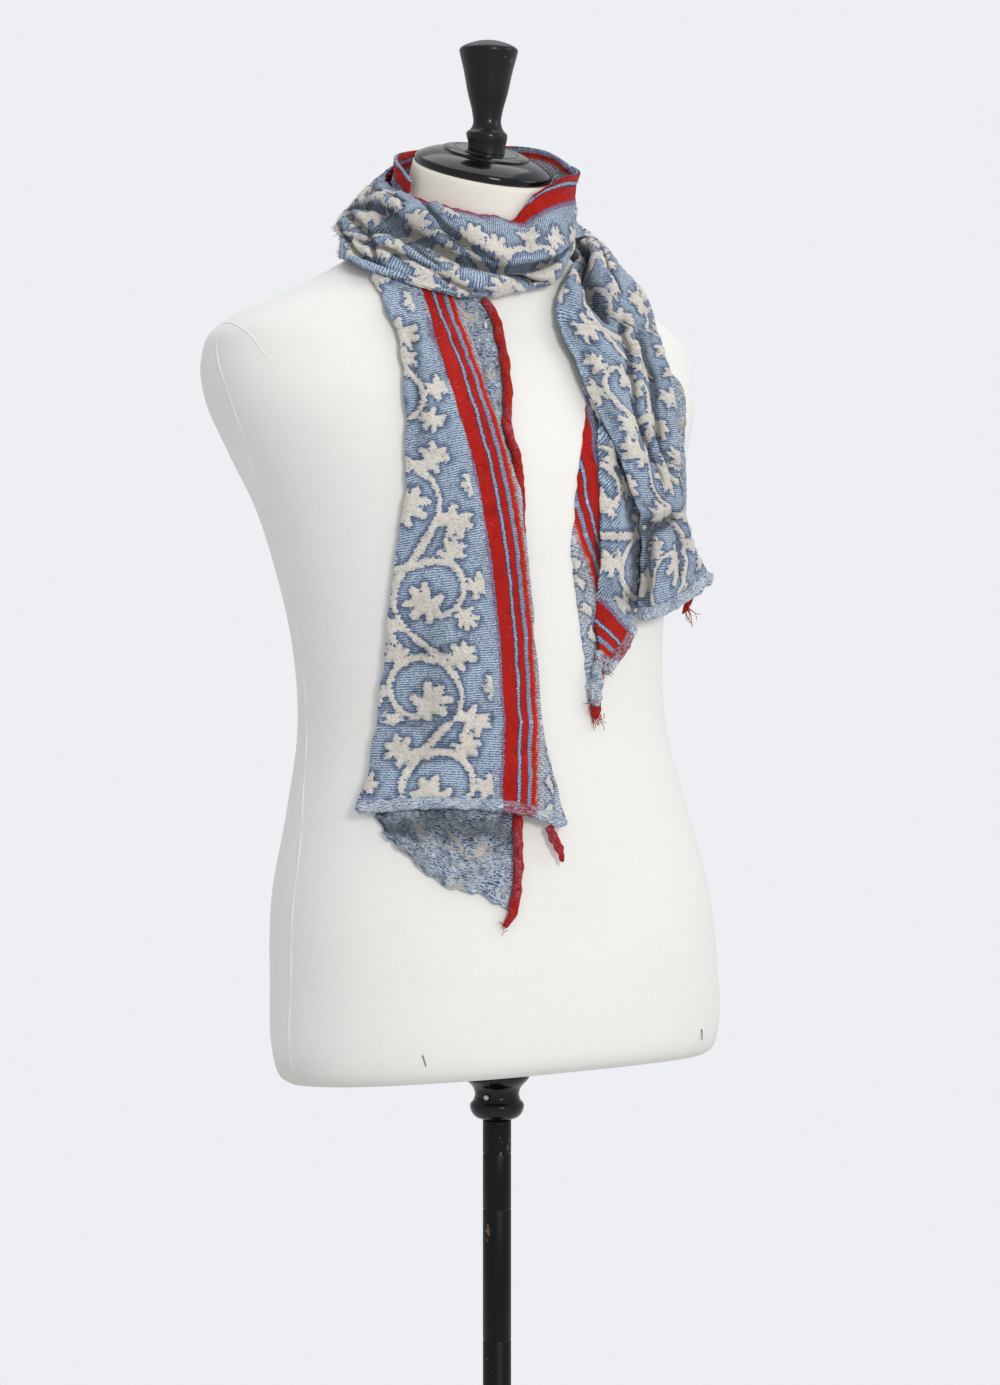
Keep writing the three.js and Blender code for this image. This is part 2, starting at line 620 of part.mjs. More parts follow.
function addBase() {
  const profile = [
    [0, 0],
    [BASE_RADIUS - 2, 0],
    [BASE_RADIUS, 2],
    [BASE_RADIUS, 9],
    [BASE_RADIUS - 4, 13],
    [60, 17],
    [30, 18.5],
    [22, BASE_HEIGHT],
    [0, BASE_HEIGHT],
  ];
  addMesh("stand_base", turnedGeometry(profile, 44), blackWood);
}

// ---------------------------------------------------------------- the scarf
// Half the air where two stretches round the neck follow each other, in degrees.
const JOINT_HALF = 0.3;

// The wound part: a turn and a half round the neck, in three stretches that follow each other.
function addNeckPasses() {
  const band = { across: [80 + JOINT_HALF, 269], down: [0, 1], cells: [22, 4] };
  addCloth("neck_band", standingBand(NECK_BAND), SMOOTH, band);
  const front = { across: [-140 + JOINT_HALF, 80 - JOINT_HALF], down: [0, 1], cells: [30, 16] };
  addCloth("front_loop", neckPass(FRONT_LOOP), FRONT_LOOP_FOLDS, front);
  const back = { across: [80 + JOINT_HALF, 220 - JOINT_HALF], down: [0, 1], cells: [18, 14] };
  addCloth("back_loop", neckPass(BACK_LOOP), BACK_LOOP_FOLDS, back);
}

// The hanging ends, each doubled along its length: an outer half and the half under it.
function addHangingEnds() {
  const sheet = (name, source, folds, cells) =>
    addCloth(name, hanging(source), folds, { across: [0, 1], down: [0, source.rows - 1], cells });
  sheet("long_end_front", LONG_END_FRONT, LONG_END_FOLDS, [10, 22]);
  sheet("long_end_under", LONG_END_UNDER, SMOOTH, [7, 22]);
  sheet("short_end_front", SHORT_END_FRONT, SHORT_END_FOLDS, [14, 22]);
  sheet("short_end_pleat", SHORT_END_PLEAT, SMOOTH, [6, 12]);
  sheet("short_end_under", SHORT_END_UNDER, SMOOTH, [4, 12]);
  sheet("short_end_rear", SHORT_END_REAR, SMOOTH, [5, 9]);
}

// A roll's centre line beside an edge of a stretch: place gives the edge's points as [across, down],
// and the roll lies towards the viewer's left of its run, out of the cloth.
function besideEdge(surface, place, steps, radius, lift) {
  return Array.from({ length: steps + 1 }, (_, i) => {
    const share = i / steps;
    const { point, outwards } = clothFace(surface, SMOOTH, ...place(share), [1, 1]);
    const along = surface(...place(share + 0.002)).sub(surface(...place(share - 0.002)));
    const away = along.cross(outwards).normalize();
    return point.addScaledVector(away, radius + SEAM_GAP).addScaledVector(outwards, lift);
  });
}
// Radii of a roll whose two ends are drawn in.
function drawnIn(radius, count) {
  return Array.from({ length: count }, (_, i) => (i === 0 || i === count - 1 ? radius * 0.7 : radius));
}

// The rolled hem below a stretch's last row.
const HEM_RADIUS = 4;
function addHem(name, source, { steps, across }) {
  const last = source.rows - 1;
  const place = (share) => [THREE.MathUtils.lerp(across[0], across[1], share), last];
  const path = besideEdge(hanging(source), place, steps, HEM_RADIUS, -CLOTH / 2);
  addRoll(name, path, drawnIn(HEM_RADIUS, path.length), wool);
}

// The red selvedge of the long end's under half, rolled on itself and curled at its tip.
const SELVEDGE = { steps: 38, firstRow: 0.55, lift: 1.1, clear: 0.4 };
const SELVEDGE_TIP = { turn: -31.2, height: 898, off: 4, radius: 2.2 };
function addSelvedge() {
  const last = LONG_END_UNDER.rows - 1;
  const place = (share) => [1, THREE.MathUtils.lerp(last, SELVEDGE.firstRow, share)];
  const path = besideEdge(
    hanging(LONG_END_UNDER),
    place,
    SELVEDGE.steps,
    ROLL + SELVEDGE.clear,
    SELVEDGE.lift,
  ).reverse();
  path.push(offForm(SELVEDGE_TIP.turn, SELVEDGE_TIP.height, SELVEDGE_TIP.off));
  const radii = drawnIn(ROLL, path.length);
  radii[radii.length - 1] = SELVEDGE_TIP.radius;
  addRoll("long_end_selvedge", path, radii, redWool);
}

// A tassel or curl that lies on the canvas, from a table of its centre line.
function addCurl(name, source, steps) {
  const places = Array.from({ length: steps + 1 }, (_, i) => ((source.rows - 1) * i) / steps);
  const size = (column, row) => atRow(source, column, row);
  const path = places.map((row) => offForm(size("turn", row), size("height", row), size("off", row)));
  addRoll(name, path, places.map((row) => size("radius", row)), redWool);
}
const LONG_END_CORNER = table("height turn off radius", [
  [973, -13.2, 10, 2.8],
  [966, -11.8, 9.5, 3.6],
  [956, -9.6, 8.8, 3.2],
  [945, -8.2, 8.5, 1.5],
]);
const SHORT_END_TASSEL = table("height turn off radius", [
  [1160, 62.8, 23.4, 2.4],
  [1154, 63, 21, 3],
  [1146, 63.2, 19, 2.6],
  [1137, 63.5, 15, 1.2],
]);
const SHORT_END_TIP = table("height turn off radius", [
  [1062.5, 13.6, 3.6, 2.2],
  [1060, 13.8, 3.6, 2.8],
  [1055, 14.2, 3.4, 1.6],
]);
function addRollsAndTassels() {
  addHem("long_end_hem", LONG_END_FRONT, { steps: 16, across: [0, 1] });
  addHem("short_end_hem", SHORT_END_FRONT, { steps: 10, across: [0, 1] });
  addHem("short_end_pleat_hem", SHORT_END_PLEAT, { steps: 6, across: [0, 0.78] });
  addSelvedge();
  addCurl("long_end_corner", LONG_END_CORNER, 4);
  addCurl("short_end_tassel", SHORT_END_TASSEL, 4);
  addCurl("short_end_tip", SHORT_END_TIP, 3);
}

addForm();
addNeckCap();
addFinial();
addCollar();
addCollarScrew();
addPole();
addBase();
addNeckPasses();
addHangingEnds();
addRollsAndTassels();

export default group;
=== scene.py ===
"""A knitted wool scarf wound on a limbless dress form that stands on a turned pole.

Blender works in metres here; the makers' tables below are in millimetres and are turned to metres
where a mesh is made. The form faces -Y, and angles round it are in degrees: 0 is its front,
+90 its own left side, -90 its right.
"""
import functools
import math
import bpy
import numpy as np
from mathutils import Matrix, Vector


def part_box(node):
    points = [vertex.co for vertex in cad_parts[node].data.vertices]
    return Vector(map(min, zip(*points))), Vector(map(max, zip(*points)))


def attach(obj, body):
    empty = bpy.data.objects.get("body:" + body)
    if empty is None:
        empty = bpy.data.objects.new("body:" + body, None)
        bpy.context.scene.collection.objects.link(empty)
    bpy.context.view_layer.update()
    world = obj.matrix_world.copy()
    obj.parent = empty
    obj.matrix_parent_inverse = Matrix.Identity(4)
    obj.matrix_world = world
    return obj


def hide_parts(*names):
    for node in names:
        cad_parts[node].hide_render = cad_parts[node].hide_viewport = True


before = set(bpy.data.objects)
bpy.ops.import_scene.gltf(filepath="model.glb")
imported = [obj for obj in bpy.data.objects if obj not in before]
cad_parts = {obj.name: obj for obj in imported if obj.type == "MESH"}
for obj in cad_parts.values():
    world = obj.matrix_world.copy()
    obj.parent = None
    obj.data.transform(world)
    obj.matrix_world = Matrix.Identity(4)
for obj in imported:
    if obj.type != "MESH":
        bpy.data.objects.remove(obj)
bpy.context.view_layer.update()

# ---------------------------------------------------------------- camera, light and floor
# A studio: a matt pale floor that fades into an even pale surround, a soft lamp in front, a larger
# one high on the form's left, and the largest overhead. The camera stands at the chest's height.
CAMERA_TURN = math.radians(33)  # how far round to the form's right it stands
CAMERA_DROP = math.radians(2.265)  # how far it looks down
CAMERA_DISTANCE = 2.697
CAMERA_HEIGHT = 1.18
TURNS_ABOUT = (0.0022, -0.0011)
camera_data = bpy.data.cameras.new("camera")
camera_data.lens = 87.1
camera = bpy.data.objects.new("camera", camera_data)
camera.location = (
    TURNS_ABOUT[0] - CAMERA_DISTANCE * math.sin(CAMERA_TURN),
    TURNS_ABOUT[1] - CAMERA_DISTANCE * math.cos(CAMERA_TURN),
    CAMERA_HEIGHT,
)
camera.rotation_euler = (math.pi / 2 - CAMERA_DROP, 0, -CAMERA_TURN)
bpy.context.collection.objects.link(camera)
bpy.context.scene.camera = camera
bpy.context.scene.view_settings.view_transform = "Standard"


def linear(code):
    """An sRGB hex colour as the linear values that a node takes."""
    parts = [int(code[i : i + 2], 16) / 255 for i in (1, 3, 5)]
    return (*[c / 12.92 if c <= 0.04045 else ((c + 0.055) / 1.055) ** 2.4 for c in parts], 1)


def node(tree, kind, *inputs, **settings):
    """Adds a node. Its inputs, in order or by name, are numbers, hex colours, outputs or whole nodes."""
    made = tree.nodes.new("ShaderNode" + kind)
    for key in [key for key in settings if hasattr(made, key)]:
        setattr(made, key, settings.pop(key))
    sockets = [socket for socket in made.inputs if socket.enabled]
    named = [(made.inputs[key.replace("_", " ")], value) for key, value in settings.items()]
    for socket, value in [*zip(sockets, inputs), *named]:
        if isinstance(value, bpy.types.Node):
            value = next(output for output in value.outputs if output.enabled)
        if isinstance(value, bpy.types.NodeSocket):
            tree.links.new(value, socket)
        else:
            socket.default_value = linear(value) if isinstance(value, str) else value
    return made


def soft_lamp(name, place, size, power, tint):
    """A square soft box that faces the form's chest."""
    data = bpy.data.lights.new(name, "AREA")
    data.shape, data.size, data.size_y = "RECTANGLE", size, size
    data.energy = power
    data.color = linear(tint)[:3]
    lamp = bpy.data.objects.new(name, data)
    lamp.location = place
    lamp.rotation_euler = (Vector((0, 0, 1.2)) - Vector(place)).to_track_quat("-Z", "Y").to_euler()
    bpy.context.collection.objects.link(lamp)


soft_lamp("key_lamp", (-0.5, -3.0, 2.1), 0.8, 37, "#fffcf8")
soft_lamp("side_lamp", (2.1, -1.5, 2.3), 1.3, 9, "#fffaf4")
soft_lamp("top_lamp", (0.2, 0.4, 3.1), 1.8, 13, "#ffffff")

# The surround lights the form evenly, and the backdrop is seen a little brighter than it shines.
world = bpy.data.worlds.new("studio")
bpy.context.scene.world = world
world.use_nodes = True
world.node_tree.nodes.clear()
add = functools.partial(node, world.node_tree)
surround = add("Background", "#f2f5fa", 0.7)
backdrop = add("Background", "#edeff2", 1.0)
add("OutputWorld", add("MixShader", add("LightPath").outputs["Is Camera Ray"], surround, backdrop))


def new_material(name):
    """A material named for its finish, still empty, and what adds a node to it."""
    made = bpy.data.materials.new(name)
    made.use_nodes = True
    made.node_tree.nodes.clear()
    return made, functools.partial(node, made.node_tree)


FLOOR_RADIUS = 1.7
bpy.ops.object.select_all(action="DESELECT")
bpy.ops.mesh.primitive_circle_add(vertices=96, radius=FLOOR_RADIUS, fill_type="NGON")
floor = bpy.context.active_object
floor.name = "floor"
# Matt wall paint: no gloss, and it thins out to nothing towards the floor's rim.
pale_floor, add = new_material("matt_painted_floor")
reach = add("VectorMath", add("TexCoord").outputs["Object"], operation="LENGTH")
fade = add("MapRange", reach, 0.35 * FLOOR_RADIUS, 0.98 * FLOOR_RADIUS, interpolation_type="SMOOTHSTEP")
paint = add("BsdfPrincipled", "#e9ebee", Roughness=0.8)
add("OutputMaterial", add("MixShader", fade, paint, add("BsdfTransparent")))
floor.data.materials.append(pale_floor)

# ---------------------------------------------------------------- stand base
# The foot of the stand: a heavy hardwood disc with a rounded rim, painted satin black. It is
# turned on a lathe, with a low boss in its middle that takes the pole.
MM = 0.001


def smooth_curve(places, values, at):
    """A smooth curve through values at rising places, with the slope of each place's neighbours."""
    places, values = np.asarray(places, float), np.asarray(values, float)
    slopes = np.gradient(values, places)
    i = np.clip(np.searchsorted(places, at, side="right") - 1, 0, len(places) - 2)
    step = places[i + 1] - places[i]
    t = (at - places[i]) / step
    first = (1 + 2 * t) * (1 - t) ** 2 * values[i] + t * (1 - t) ** 2 * step * slopes[i]
    return first + t**2 * (3 - 2 * t) * values[i + 1] - t**2 * (1 - t) * step * slopes[i + 1]


def run_along(points, axis=0):
    """The length run along lines of points, from 0 at their first."""
    steps = np.linalg.norm(np.diff(points, axis=axis), axis=-1)
    return np.cumsum(np.insert(steps, 0, 0, axis=axis), axis=axis)


def rounded(profile, corners, steps=5):
    """A [radius, height] profile with smooth curves between its sharp corners, given by row."""
    made = []
    for first, last in zip(corners[:-1], corners[1:]):
        part = np.array(profile[first : last + 1], float)
        run = run_along(part)
        at = run if last - first == 1 else np.linspace(0, run[-1], steps * (last - first) + 1)
        made += [(smooth_curve(run, part[:, 0], a), smooth_curve(run, part[:, 1], a)) for a in at[:-1]]
    return made + [tuple(profile[-1])]


def spin_piece(name, profile, steps):
    """A turned piece: a point extruded along the profile (millimetres) and spun round the Z axis."""
    bpy.ops.object.select_all(action="DESELECT")
    bpy.ops.mesh.primitive_plane_add(size=MM, location=(0, 0, 0))
    piece = bpy.context.active_object
    piece.name = piece.data.name = name
    bpy.ops.object.mode_set(mode="EDIT")
    bpy.ops.mesh.select_all(action="SELECT")
    bpy.ops.mesh.merge(type="CENTER")
    at = np.array([0.0, 0.0])
    for radius, height in profile:
        step = np.array([radius, height]) * MM - at
        if np.any(at) or step[1]:
            bpy.ops.mesh.extrude_region_move(TRANSFORM_OT_translate={"value": (step[0], 0, step[1])})
        else:
            bpy.ops.transform.translate(value=(step[0], 0, step[1]))
        at += step
    bpy.ops.mesh.select_all(action="SELECT")
    bpy.ops.mesh.spin(steps=steps, angle=2 * math.pi, center=(0, 0, 0), axis=(0, 0, 1))
    bpy.ops.mesh.select_all(action="SELECT")
    bpy.ops.mesh.remove_doubles(threshold=2e-5)
    bpy.ops.mesh.normals_make_consistent(inside=False)
    bpy.ops.object.mode_set(mode="OBJECT")
    bpy.ops.object.shade_smooth_by_angle(angle=math.radians(38))
    return piece


COLOURS = {"data_type": "RGBA"}  # makes a Mix node mix colours


def turned_wood(name, gloss, wear):
    """Black paint on turned beech: wear is how much brown wood shows through in flecks.

    To the eye it is almost black, with a narrow soft highlight that the lathe's rings break up.
    """
    made, add = new_material(name)
    place = add("TexCoord").outputs["Object"]
    # Chips in the paint, 2 to 6 mm, in patches 60 mm apart.
    patches = add("TexNoise", place, 17.0, 2.0)
    chips = add("Math", add("TexNoise", place, 170.0, 4.0), patches, operation="MULTIPLY")
    worn = add("MapRange", chips, 0.44 - 0.09 * wear, 0.47 - 0.08 * wear)
    # Fine turning rings left by the lathe, 1.2 mm apart.
    rings = add("TexNoise", add("Mapping", place, Scale=(0, 0, 1)), 800.0, 1.0)
    colour = add("Mix", worn, add("Mix", rings, "#030405", "#090b0e", **COLOURS), "#6d5442", **COLOURS)
    # Handling has smeared the gloss in patches 20 mm across.
    rough = add("MapRange", add("TexNoise", place, 45.0, 3.0), 0.0, 1.0, gloss, gloss + 0.12)
    height = add("Math", rings, worn, operation="SUBTRACT")
    bump = add("Bump", 0.12 + 0.25 * wear, 0.0002, Height=height)
    shader = add(
        "BsdfPrincipled", colour, Roughness=rough, IOR=1.5, Specular_IOR_Level=0.2,
        Coat_Weight=0.32 if wear < 0.5 else 0.0, Coat_Roughness=0.06, Normal=bump,
    )
    add("OutputMaterial", shader)
    return made


def fit_piece(piece, material, stands_for=None):
    """A rigid piece's material, the solid it stands for, and the slot it takes its finish from."""
    piece.data.materials.append(material)
    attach(piece, "root")
    if stands_for:
        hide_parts(stands_for)


BASE_RADIUS, BASE_HEIGHT = (1000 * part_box("stand_base")[1][axis] for axis in (0, 2))
base_profile = rounded(
    [
        [0, 0], [BASE_RADIUS - 2, 0], [BASE_RADIUS - 0.6, 0.6], [BASE_RADIUS, 2],
        [BASE_RADIUS, 9], [BASE_RADIUS - 1.2, 11.6], [BASE_RADIUS - 4, 13],
        [110, 15.2], [60, 17], [30, 18.5], [25, 19.6], [22, BASE_HEIGHT], [0, BASE_HEIGHT],
    ],
    [0, 1, 3, 4, 6, 9, 11, 12],
)
satin_black = turned_wood("satin_black_paint_on_beech", 0.3, 0.55)
fit_piece(spin_piece("turned_base", base_profile, 160), satin_black, "stand_base")

# ---------------------------------------------------------------- pole
# A straight beech pole with thin scored rings, painted black long ago: the paint is rubbed and
# chipped, more towards its lower half, and the form slides down on it.
POLE_RADIUS = 1000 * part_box("stand_pole")[1][0]
pole_foot, pole_top = (1000 * corner[2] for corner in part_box("stand_pole"))
SCORED_RINGS = (548, 655, 700)  # heights of the thin rings scored round it
pole_profile = [[0, pole_foot], [POLE_RADIUS - 0.5, pole_foot], [POLE_RADIUS, pole_foot + 0.6]]
for ring in SCORED_RINGS:
    pole_profile += [[POLE_RADIUS, ring - 0.9], [POLE_RADIUS - 0.45, ring], [POLE_RADIUS, ring + 0.9]]
pole_profile += [[POLE_RADIUS, pole_top - 0.6], [POLE_RADIUS - 0.5, pole_top], [0, pole_top]]
rubbed_black = turned_wood("rubbed_black_paint_on_beech", 0.34, 1.0)
fit_piece(spin_piece("turned_pole", pole_profile, 72), rubbed_black, "stand_pole")

# ---------------------------------------------------------------- collar and its screw
# The turned collar that clamps the form to the pole: a bead, a waist and a cup under the canvas,
# gloss black, with a small slotted screw in its waist.
COLLAR_FOOT = 1000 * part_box("stand_collar")[0][2]
COLLAR_HEIGHT = 41.6
CUP_FROM = 30  # above this height the cup is cut to the slope of the form's underside
SEAT_SLOPE = 0.095  # the form's underside rises towards the front
collar_profile = rounded(
    [
        [0, 0], [POLE_RADIUS + 0.7, 0], [18, 2.5], [21.3, 7.5], [21.8, 12.5], [19.2, 15.5], [18, 20],
        [19, 25], [22.5, 29.5], [26, 32.5], [26.6, 34], [26.6, 40], [25.6, COLLAR_HEIGHT], [0, COLLAR_HEIGHT],
    ],
    [0, 1, 5, 9, 11, 12, 13],
)
collar = spin_piece("turned_collar", collar_profile, 96)
for vertex in collar.data.vertices:
    share = np.clip((vertex.co.z / MM - CUP_FROM) / 4, 0, 1)
    vertex.co.z += COLLAR_FOOT * MM - SEAT_SLOPE * share**2 * (3 - 2 * share) * vertex.co.y
gloss_black = turned_wood("gloss_black_lacquer_on_beech", 0.1, 0.1)
fit_piece(collar, gloss_black, "stand_collar")

SCREW_TURN = math.radians(-59)
SCREW_HEIGHT = 748
SCREW_SEAT = 18.9  # from the pole's axis to the flat of its head
SLOT_HALF, SLOT_DEPTH = 0.28, 0.6
screw_profile = rounded([[0, 0], [2.2, 0], [2.2, 0.8], [1.9, 1.3], [1.2, 1.6], [0, 1.7]], [0, 1, 2, 5], 3)
screw = spin_piece("screw_head", screw_profile, 28)
bpy.ops.object.mode_set(mode="EDIT")
for side in (SLOT_HALF, -SLOT_HALF):
    bpy.ops.mesh.select_all(action="SELECT")
    bpy.ops.mesh.bisect(plane_co=(side * MM, 0, 0), plane_no=(1, 0, 0))
bpy.ops.object.mode_set(mode="OBJECT")
out = Vector((math.sin(SCREW_TURN), -math.cos(SCREW_TURN), 0))
turned = out.to_track_quat("Z", "Y").to_matrix()
for vertex in screw.data.vertices:
    # The slot is pressed in between the two cuts.
    if abs(vertex.co.x) < (SLOT_HALF + 0.02) * MM and vertex.co.z > 0.9 * MM:
        vertex.co.z -= SLOT_DEPTH * MM
    vertex.co = turned @ vertex.co + out * SCREW_SEAT * MM + Vector((0, 0, SCREW_HEIGHT * MM))
# Zinc-plated steel: a pale metal, dulled in streaks under 1 mm by brushing.
zinc, add = new_material("zinc_plated_steel")
brushed = add("TexNoise", add("TexCoord").outputs["Object"], 900.0)
plate = add("Mix", brushed, "#b9b8b4", "#dad9d6", **COLOURS)
dulled = add("MapRange", brushed, 0.0, 1.0, 0.22, 0.45)
add("OutputMaterial", add("BsdfPrincipled", plate, 1.0, dulled))
fit_piece(screw, zinc, "collar_screw")

# ---------------------------------------------------------------- canvas form
# The dress form: moulded paper stretched with off-white cotton canvas, sewn up each side and
# round each armhole, its bottom edge turned under. Sections give its girth from hips to neck.


class Table:
    """Rows of sizes under named columns, read smoothly between the rows."""

    def __init__(self, names, text):
        rows = [[float(size) for size in row.split()] for row in text.strip().splitlines()]
        self.columns = dict(zip(names.split(), zip(*rows)))
        self.rows = len(rows)

    def at(self, row):
        """Every column's size at a row, or between two."""
        return {name: smooth_curve(range(self.rows), sizes, row) for name, sizes in self.columns.items()}

    def by(self, name, value):
        """Every column's size where one of them has a value."""
        places = self.columns[name]
        return {other: smooth_curve(places, sizes, value) for other, sizes in self.columns.items()}

    def row_of(self, name, value):
        """The row, or the place between two, where a column has a value."""
        return smooth_curve(self.columns[name], range(self.rows), value)


NECK_SLOPE = 0.34  # the neck's top falls towards the front
NECK_TOP = np.array([0.0, 21.0, 1493.0])
NECK_RADIUS = 56.0
FORM = Table("height halfWidth middle front back frontSquare backSquare", f"""
    770 187 -8 112 124 2.3 2.3
    790 192 -7 116 129 2.3 2.3
    850 192 -4 119 135 2.3 2.3
    910 188 0 117 135 2.25 2.3
    980 171 8 114 130 2.2 2.2
    1045 156 18 114 122 2.2 2.2
    1110 156 26 120 122 2.2 2.2
    1170 165 34 128 124 2.2 2.3
    1225 179 42 136 124 2.2 2.5
    1270 198 50 134 116 2.2 2.9
    1310 216 58 124 104 2.2 3
    1340 220 62 112 90 2.1 3
    1362 214 62 100 78 2.1 2.7
    1378 190 59 94 70 2.1 2.4
    1393 156 54 88 66 2.1 2.1
    1408 122 49 80 65 2 2
    1423 94 44 70 62 2 2
    1440 74 38 63 59 2 2
    1460 61 31 59 57 2 2
    {NECK_TOP[2] - 0.3} {NECK_RADIUS} {NECK_TOP[1]} {NECK_RADIUS} {NECK_RADIUS} 2 2
""")


def form_point(turn, height, inset=0.0):
    """A point of the canvas at an angle round the form and a section height, moved inwards by inset."""
    turn, height = np.broadcast_arrays(np.asarray(turn, float), np.asarray(height, float))
    size = FORM.by("height", height)
    sine, cosine = np.sin(np.radians(turn)), np.cos(np.radians(turn))
    front = cosine > 0
    reach = np.where(front, size["front"], size["back"])
    square = np.where(front, size["frontSquare"], size["backSquare"])
    across = (np.abs(sine) / size["halfWidth"]) ** square
    radius = (across + (np.abs(cosine) / reach) ** square) ** (-1 / square) - inset
    y = size["middle"] - radius * cosine
    # The rings lie level from 900 to 1390 mm, and lean with the bottom edge and with the neck's top.
    rise = np.clip((900 - height) / 130, 0, 1) * SEAT_SLOPE
    fall = np.clip((height - 1390) / 80, 0, 1) * NECK_SLOPE
    pivot = np.where(height < 1200, 0.0, NECK_TOP[1])
    return np.stack([radius * sine, y, height - (rise - fall) * (y - pivot)], -1)


def unit(vectors):
    """The same directions, each at a length of 1."""
    return vectors / np.linalg.norm(vectors, axis=-1, keepdims=True)


def off_form(turn, height, off):
    """The same point moved straight off the canvas."""
    turn, height = np.asarray(turn, float), np.asarray(height, float)
    round_way = form_point(turn + 0.5, height) - form_point(turn - 0.5, height)
    out = unit(np.cross(round_way, form_point(turn, height + 1) - form_point(turn, height - 1)))
    return form_point(turn, height) + out * np.asarray(off, float)[..., None]


def mesh_piece(name, points, faces, uv=None):
    """A piece from points in millimetres and arrays of four-sided or three-sided faces."""
    mesh = bpy.data.meshes.new(name)
    corners = [face for group in faces for face in group.tolist()]
    mesh.from_pydata(np.asarray(points) * MM, [], corners, shade_flat=False)
    if uv is not None:
        chart = uv[np.concatenate([group.ravel() for group in faces])] * MM
        mesh.uv_layers.new(name="scarf").uv.foreach_set("vector", chart.astype(np.float32).ravel())
    mesh.validate()
    piece = bpy.data.objects.new(name, mesh)
    bpy.context.collection.objects.link(piece)
    return piece


def ring_faces(rings, sides):
    """Faces between closed rings of points that follow each other, and a fan point at each end."""
    around = np.arange(sides)
    after = (around + 1) % sides
    row = np.arange(rings - 1)[:, None] * sides
    quads = np.stack([row + around, row + after, row + after + sides, row + around + sides], -1)
    foot, top = rings * sides, (rings - 1) * sides
    low_fan = np.stack([np.full(sides, foot), after, around], 1)
    return [quads.reshape(-1, 4), low_fan, np.stack([np.full(sides, foot + 1), top + around, top + after], 1)]


FORM_SIDES = 288
# The bottom edge turns in by 8 mm on a tight curve.
edge_heights = np.array([770, 770.5, 771.3, 772.5, 774, 776, 778.5, 781])
edge_insets = np.clip(smooth_curve([770, 774, 781], [8, 2.5, 0], edge_heights), 0, None)
wall_heights = np.linspace(784, 1492.7, 190)
heights = np.concatenate([edge_heights, wall_heights])[:, None]
insets = np.concatenate([edge_insets, 0 * wall_heights])[:, None]
rings = form_point(np.arange(FORM_SIDES) * 360 / FORM_SIDES, heights, insets)
form_points = np.concatenate([rings.reshape(-1, 3), rings[[0, -1]].mean(1)])
form = mesh_piece("canvas_torso", form_points, ring_faces(len(rings), FORM_SIDES))

# Unbleached cotton canvas: dull off-white, with a fine even weave that scatters light softly.
cotton, add = new_material("unbleached_cotton_canvas")
place = add("TexCoord").outputs["Object"]
# Warp and weft of a 0.5 mm canvas, drawn at 1.8 mm so that the weave shows; slubs lie along the weft.
weft = add("TexNoise", add("Mapping", place, Scale=(60, 60, 560)), 1.0, 2.0)
warp = add("TexNoise", add("Mapping", place, Scale=(560, 560, 60)), 1.0, 2.0)
weave = add("Math", weft, warp, operation="ADD")
# The neck has yellowed with handling, and the hem edge is a little soiled.
height = add("SeparateXYZ", place).outputs["Z"]
aged, soiled = add("MapRange", height, 1.40, 1.50), add("MapRange", height, 0.80, 0.765)
tone = add("Mix", add("TexNoise", place, 7.0, 4.0), "#f0f0ec", "#e9e7e0", **COLOURS)
tone = add("Mix", soiled, add("Mix", aged, tone, "#e8e2d4", **COLOURS), "#d9d5ca", **COLOURS)
lit = add("VectorMath", tone, add("MapRange", weave, 0.7, 1.3, 0.98, 1.01), operation="SCALE")
bump = add("Bump", 0.1, 0.0004, Height=weave)
shader = add("BsdfPrincipled", lit, Roughness=0.92, Sheen_Weight=0.12, Sheen_Roughness=0.5, Normal=bump)
add("OutputMaterial", shader)
fit_piece(form, cotton, "canvas_form")


def tube(name, path, radii, sides, uv_of=None, flat=1.0):
    """A closed tube round a path (millimetres): radii is a number, a list or a (steps, sides) array."""
    steps = len(path)
    ahead = unit(np.gradient(path, axis=0))
    side = unit(np.cross([0.0, 1.0, 0.0], ahead))
    over = flat * np.cross(ahead, side)
    radii = np.asarray(radii, float).reshape(steps if np.ndim(radii) else 1, -1, 1)
    angle = np.arange(sides) * 2 * np.pi / sides
    spread = side[:, None] * np.cos(angle)[:, None] + over[:, None] * np.sin(angle)[:, None]
    points = path[:, None] + spread * radii
    closed = np.concatenate([points.reshape(-1, 3), points[[0, -1]].mean(1)])
    return mesh_piece(name, closed, ring_faces(steps, sides), uv_of and uv_of(path, angle))


# Welted seams: down each side from the shoulder's tip, and a short curved one at each armhole.
SIDE_SEAM = Table("height turn", """
    782 -91.5
    877 -90.5
    954 -91.3
    1025 -96.3
    1085 -98.3
    1180 -100
    1228 -98.4
    1278 -91
    1305 -88.5
    1352 -91
""")
ARMHOLE_SEAM = Table("row turn height", """
    0 -97 1364
    1 -93.8 1365.8
    2 -89.7 1365.5
    3 -84.6 1361.2
    4 -80.5 1352.8
    5 -77 1336.9
""")
# Waxed linen: brown and grey strands of 0.7 mm, twisted, with a dull shine.
tack, add = new_material("waxed_linen_thread")
strands = add("TexNoise", add("TexCoord").outputs["Object"], 1500.0)
flax = add("Mix", strands, "#3a3630", "#8b8578", **COLOURS)
add("OutputMaterial", add("BsdfPrincipled", flax, Roughness=0.7))
